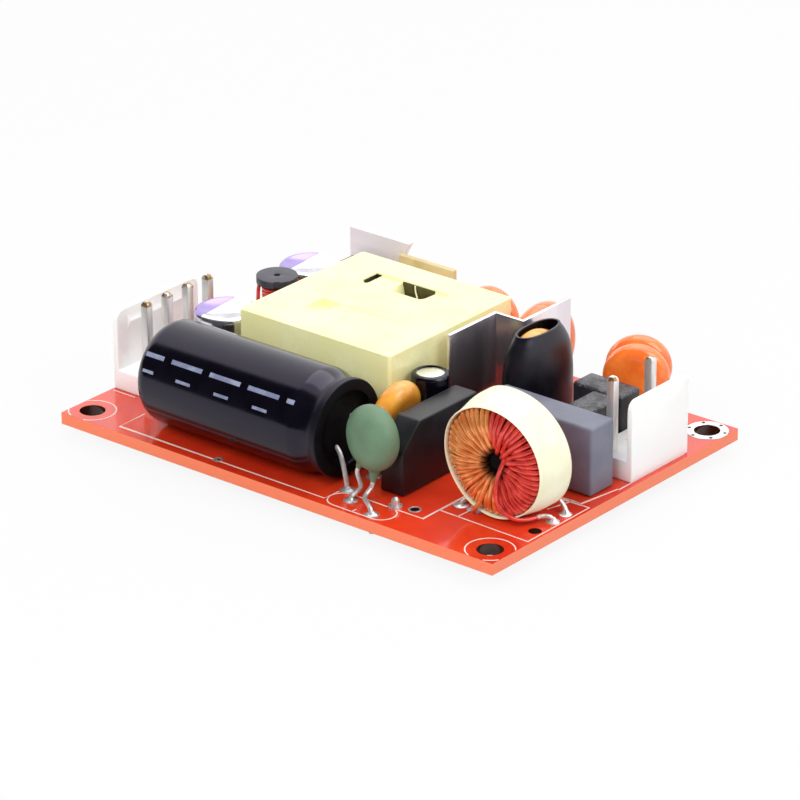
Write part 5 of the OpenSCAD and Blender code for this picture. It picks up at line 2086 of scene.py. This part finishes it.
@dataclass
class BareLeads:
    """The bent tinned leads that stand in view.

    Attributes:
        thermistor: corners of each thermistor lead.
        bulk: corners of each lead of the large capacitor.
    """

    shop: Workshop
    thermistor: tuple[tuple[Point, ...], ...] = (
        ((10.15, -19.9, 5.6), (10.0, -20.0, 5.0), (9.85, -20.1, 4.35), (10.8, -20.2, 2.6),
         (10.72, -22.2, 2.2), (10.72, -22.37, 1.2), (10.72, -22.37, LEAD_END)),
        ((12.72, -20.35, 4.6), (12.68, -20.45, 3.4), (12.6, -22.1, 2.5), (15.1, -23.75, 2.3),
         (15.38, -23.83, 1.2), (15.38, -23.83, LEAD_END)),
    )
    bulk: tuple[tuple[Point, ...], ...] = (
        ((4.5, -18.9, 6.3), (5.6, -18.95, 6.2), (6.6, -19.3, 5.4), (7.5, -19.75, 4.0), (8.1, -20.05, 2.6),
         (8.4, -20.2, 1.2), (8.4, -20.2, LEAD_END)),
        ((4.5, -16.1, 9.5), (6.3, -16.0, 9.4), (7.6, -15.5, 8.0), (8.4, -15.1, 5.6), (8.4, -15.1, LEAD_END)),
    )

    def build(self) -> None:
        """Draws the leads."""
        thin = [catmull(rounded_route(route, 0.8, 4), 2) for route in self.thermistor]
        self.shop.wiring("thermistor_wires", thin, 0.3, 14, Slot.TINNED_WIRE, ["thermistor_leads"])
        thick = [curve_through(route) for route in self.bulk]
        self.shop.wiring("bulk_wires", thick, 0.32, 16, Slot.TINNED_WIRE, ["bulk_leads"])


@dataclass
class SolderWork:
    """Solder fillets on both faces of the board.

    Attributes:
        top_face: fillets in view on the upper face, by place, radius and height.
        sides: faces round a fillet.
    """

    shop: Workshop
    top_face: tuple[tuple[float, float, float, float], ...] = (
        (10.72, -22.37, 0.9, 0.5), (15.38, -23.83, 0.95, 0.45), (34.0, -11.43, 0.9, 0.6),
        (33.9, -8.73, 0.85, 0.7), (24.0, -14.85, 0.7, 0.25), (8.4, -20.2, 1.0, 0.4), (8.4, -15.1, 1.0, 0.4),
        (16.3, -20.4, 0.42, 0.2), (22.2, -14.8, 0.95, 0.18),
    )
    sides: int = 20

    def fillet(self, slope: float, tip: float) -> bpy.types.Mesh:
        """Makes a fillet of unit radius and height.

        Args:
            slope: how hollow its side is.
            tip: share of the radius left at the top.

        Returns:
            The mesh.
        """
        side = [(1 - (1 - tip) * t ** (1 / slope), t) for t in spread(9)]
        cone = Shape().lathe([(0, 0), *side, (tip * 0.6, 1.06), (0, 1.08)], self.sides)
        return cone.finish("fillet", 60)

    def build(self) -> None:
        """Places the fillets on both faces."""
        shop = self.shop
        level = shop.box("board").high.z
        upper = [Station((x, y, level), size=(r, r, h)) for x, y, r, h in self.top_face]
        shop.copies("solder_fillets_top", self.fillet(1.7, 0.3), upper, Slot.SOLDER)
        lower = []
        for box in shop.islands("solder_joints"):
            radius = max(box.size.x, box.size.y) / 2
            foot = (box.centre.x, box.centre.y, box.high.z)
            lower.append(Station(foot, (math.pi, 0, 0), (radius, radius, box.size.z)))
        shop.copies("solder_fillets_below", self.fillet(1.6, 0.42), lower, Slot.SOLDER, ["solder_joints"])


@dataclass
class BoardPrint:
    """Printed outlines, plated rings and vias on the board's upper face.

    Attributes:
        ink: height of the ink.
        width: width of its lines.
        outlines: corners of the open printed lines.
        choke: corners of the frame printed round the choke.
        pads: sides of the outline printed round the thermistor's pads: left, right, front and back.
        rings: X, Y and radius of the rings printed round the mounting holes.
        plated: X and Y of the mounting hole that has a plated ring.
        plating: height of the plating.
        ring: inner and outer radius of that ring.
        eyelets: X, Y, inner and outer radius of the smaller plated rings.
        via_circle: radius of the circle of vias in the plated ring.
    """

    shop: Workshop
    ink: float = 0.025
    width: float = 0.17
    outlines: tuple[tuple[Spot, ...], ...] = (
        ((-26.8, -19.0), (-26.7, -23.9), (7.75, -23.9), (7.9, -21.2)),
        ((16.2, -20.6), (16.85, -20.85), (21.06, -20.85), (21.0, -12.5)),
        ((29.1, -2.6), (30.4, -5.3), (32.4, -5.1), (33.6, -5.2), (34.6, 1.1)),
        ((34.8, 1.05), (34.8, 14.8)),
        ((-35.1, -15.9), (-31.3, -15.9)),
        ((12.9, -24.75), (12.9, -23.9)),
        ((24.0, -17.7), (24.1, -14.9)),
        ((31.3, -9.1), (32.3, -5.2)),
        ((30.9, -5.7), (34.0, -5.6)),
    )
    choke: tuple[Spot, ...] = ((21.15, -5.5), (21.15, -17.6), (35.1, -17.85), (35.1, -5.5))
    pads: tuple[float, float, float, float] = (7.9, 18.0, -24.75, -20.9)
    rings: tuple[Point, ...] = ((-32.84, -22.4, 3.1), (32.84, -22.4, 3.1), (-32.84, 22.4, 3.1))
    plated: Spot = (32.84, 22.4)
    plating: float = 0.05
    ring: Spot = (1.7, 2.8)
    eyelets: tuple[tuple[float, float, float, float], ...] = (
        (18.6, -19.4, 0.6, 0.85), (-10.1, -23.6, 0.3, 0.65),
    )
    via_circle: float = 2.4

    def build(self) -> None:
        """Prints the lines and plates the rings."""
        shop = self.shop
        level = shop.box("board").high.z
        ink = Shape()
        for line in self.outlines:
            ink.ribbon([Vector((*p, level)) for p in line], self.width, self.ink)
        ink.ribbon(self.stadium(level), self.width, self.ink, closed=True)
        ink.ribbon([Vector((*p, level)) for p in self.choke], self.width, self.ink, closed=True)
        for ring in self.rings:
            for arc in self.arcs(*ring, level):
                ink.ribbon(arc, self.width, self.ink)
        shop.form("board_print", ink, Slot.HEADER_PLASTIC, 30, look=Extra.INK)
        x, y = self.plated
        plate = Shape()
        for x_ring, y_ring, inner, outer in ((x, y, *self.ring), *self.eyelets):
            plate.join(self.washer(inner, outer).move(Matrix.Translation((x_ring, y_ring, level))))
        shop.form("plated_rings", plate, Slot.SOLDER, 30)
        # Each via is a flat near-black disc on the plated ring: painted shade standing for its hole.
        via = Shape().lathe([(0, 0), (0.24, 0), (0.22, 0.01), (0, 0.012)], 20).finish("via", 30)
        stations = []
        for angle in (math.pi / 3 * k + 0.3 for k in range(6)):
            dx, dy = on_circle(self.via_circle, angle)
            stations.append(Station((x + dx, y + dy, level + self.plating)))
        shop.copies("ring_vias", via, stations, Slot.BUNG_RUBBER)

    def arcs(self, x: float, y: float, radius: float, level: float) -> list[list[Vector]]:
        """Gives the stretches of a printed ring that lie on the board, which cuts it short.

        Args:
            x: X of the ring's middle.
            y: Y of the ring's middle.
            radius: radius of the ring.
            level: height of the board's face.

        Returns:
            The stretches' points.
        """
        board = self.shop.box("board")
        runs: list[list[Vector]] = [[]]
        start = math.atan2(-y, -x)
        for k in range(181):
            dx, dy = on_circle(radius, start + math.radians(2 * k))
            point = Vector((x + dx, y + dy, level))
            if max(abs(point.x) - board.high.x, abs(point.y) - board.high.y) < -self.width / 2:
                runs[-1].append(point)
            elif runs[-1]:
                runs.append([])
        return [run for run in runs if len(run) > 1]

    def washer(self, inner: float, outer: float) -> Shape:
        """Gives a flat plated ring with a rounded rim."""
        high, rim = self.plating, self.plating / 2
        return Shape().lathe(
            [(inner, 0), (outer, 0), (outer - rim, high), (inner + rim, high), (inner, rim), (inner, 0)], 72
        )

    def stadium(self, level: float) -> list[Vector]:
        """Gives the outline with round ends printed round the thermistor's pads."""
        left, right, front, back = self.pads
        radius, y = (back - front) / 2, (front + back) / 2
        points = []
        for x, start in ((right - radius, -math.pi / 2), (left + radius, math.pi / 2)):
            for k in range(17):
                dx, dy = on_circle(radius, start + math.pi * k / 16)
                points.append(Vector((x + dx, y + dy, level)))
        return points


# ---------------------------------------------------------------------------------------------
# Studio


@dataclass
class Lamp:
    """A square softbox aimed at the object.

    Attributes:
        at: its place in metres.
        size: its side in metres.
        power: its power in watts.
        mirrored: whether it shows in glossy surfaces.
    """

    at: Point
    size: float
    power: float
    mirrored: bool = True


@dataclass
class Studio:
    """Camera, lamps, floor and world.

    Attributes:
        eye: place of the camera, in millimetres.
        right: direction of the picture's right edge.
        up: direction of the picture's top edge.
        lens: focal length on a 36 mm frame.
        lamps: the softboxes.
        floor_below: gap between the board's underside and the floor, in millimetres.
    """

    eye: Point = (352.874, -428.293, 252.36)
    right: Point = (0.7732059, 0.6341424, -0.0040174)
    up: Point = (-0.255804, 0.3176846, 0.9130393)
    lens: float = 212.65
    lamps: tuple[Lamp, ...] = (
        Lamp((-0.05, 0.30, 0.62), 0.60, 1.9),
        Lamp((0.50, 0.10, 0.45), 0.40, 1.5),
        Lamp((0.06, -0.52, 0.52), 0.45, 3.2, mirrored=False),
    )
    floor_below: float = 1.62

    def build(self) -> None:
        """Sets everything up."""
        scene = bpy.context.scene
        scene.view_settings.view_transform = "Standard"
        right, up = Vector(self.right).normalized(), Vector(self.up).normalized()
        back = right.cross(up)
        camera = bpy.data.objects.new("camera", bpy.data.cameras.new("camera"))
        camera.data.lens = self.lens
        camera.data.sensor_width = 36
        camera.data.clip_start = 0.01
        turn = Matrix((right, up, back)).transposed().to_4x4()
        camera.matrix_world = Matrix.Translation(Vector(self.eye) * MM) @ turn
        scene.collection.objects.link(camera)
        scene.camera = camera
        for number, lamp in enumerate(self.lamps):
            light = bpy.data.lights.new(f"softbox_{number}", "AREA")
            light.energy = lamp.power
            light.size = lamp.size
            holder = bpy.data.objects.new(light.name, light)
            aim = (-Vector(lamp.at)).to_track_quat("-Z", "Y").to_matrix().to_4x4()
            holder.matrix_world = Matrix.Translation(lamp.at) @ aim
            holder.visible_glossy = lamp.mirrored
            scene.collection.objects.link(holder)
        self.build_floor()
        self.build_world()

    def build_floor(self) -> None:
        """Lays the pale floor."""
        material, graph = material_graph("floor")
        graph.set(Base_Color=graph.noise(60).mix((0.66, 0.66, 0.66), (0.70, 0.70, 0.70)), Roughness=0.8)
        glow = graph.node("ShaderNodeEmission", inputs={"Color": (1, 1, 1), "Strength": 1.0})
        mix = graph.node("ShaderNodeMixShader", inputs={
            0: graph.ray("Camera") * 0.9, 1: graph.shader.outputs[0], 2: glow.outputs[0],
        })
        output = next(node for node in graph.tree.nodes if node.type == "OUTPUT_MATERIAL")
        graph.feed(output.inputs["Surface"], mix.outputs[0])
        floor = Shape().box((-900, -160, -self.floor_below - 2), (900, 900, -self.floor_below))
        data = floor.finish("floor", 30)
        data.materials.append(material)
        piece = bpy.data.objects.new("floor", data)
        bpy.context.scene.collection.objects.link(piece)

    def build_world(self) -> None:
        """Surrounds the object with a white backdrop and ceiling, and a dark wall in front."""
        world = bpy.data.worlds.new("studio")
        world.use_nodes = True
        bpy.context.scene.world = world
        graph = Graph(world.node_tree, "Generated")
        behind = (graph.axis(1, 1.0) + graph.axis(2, 1.0) * 0.26).remap(-0.06, 0.06, 0.06, 1.4)
        lit = graph.ray("Camera") + graph.ray("Glossy") * behind + graph.ray("Diffuse") * 0.5
        graph.set(Color=(1.0, 1.0, 1.0), Strength=lit)


def main() -> None:
    """Builds the dressed object."""
    logging.basicConfig(level=logging.INFO, format="%(levelname)s %(message)s")
    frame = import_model()
    shop = Workshop(frame)
    Studio().build()
    for part in (
        BulkCapacitor, PolymerCapacitors, SmallCapacitor, ToroidalChoke, DrumChoke, CoatedParts, ShrunkSleeve,
        MouldedParts, FoldedPlate, TransformerWindows, BareLeads, SolderWork, BoardPrint,
    ):
        part(shop).build()


if __name__ == "__main__":
    main()
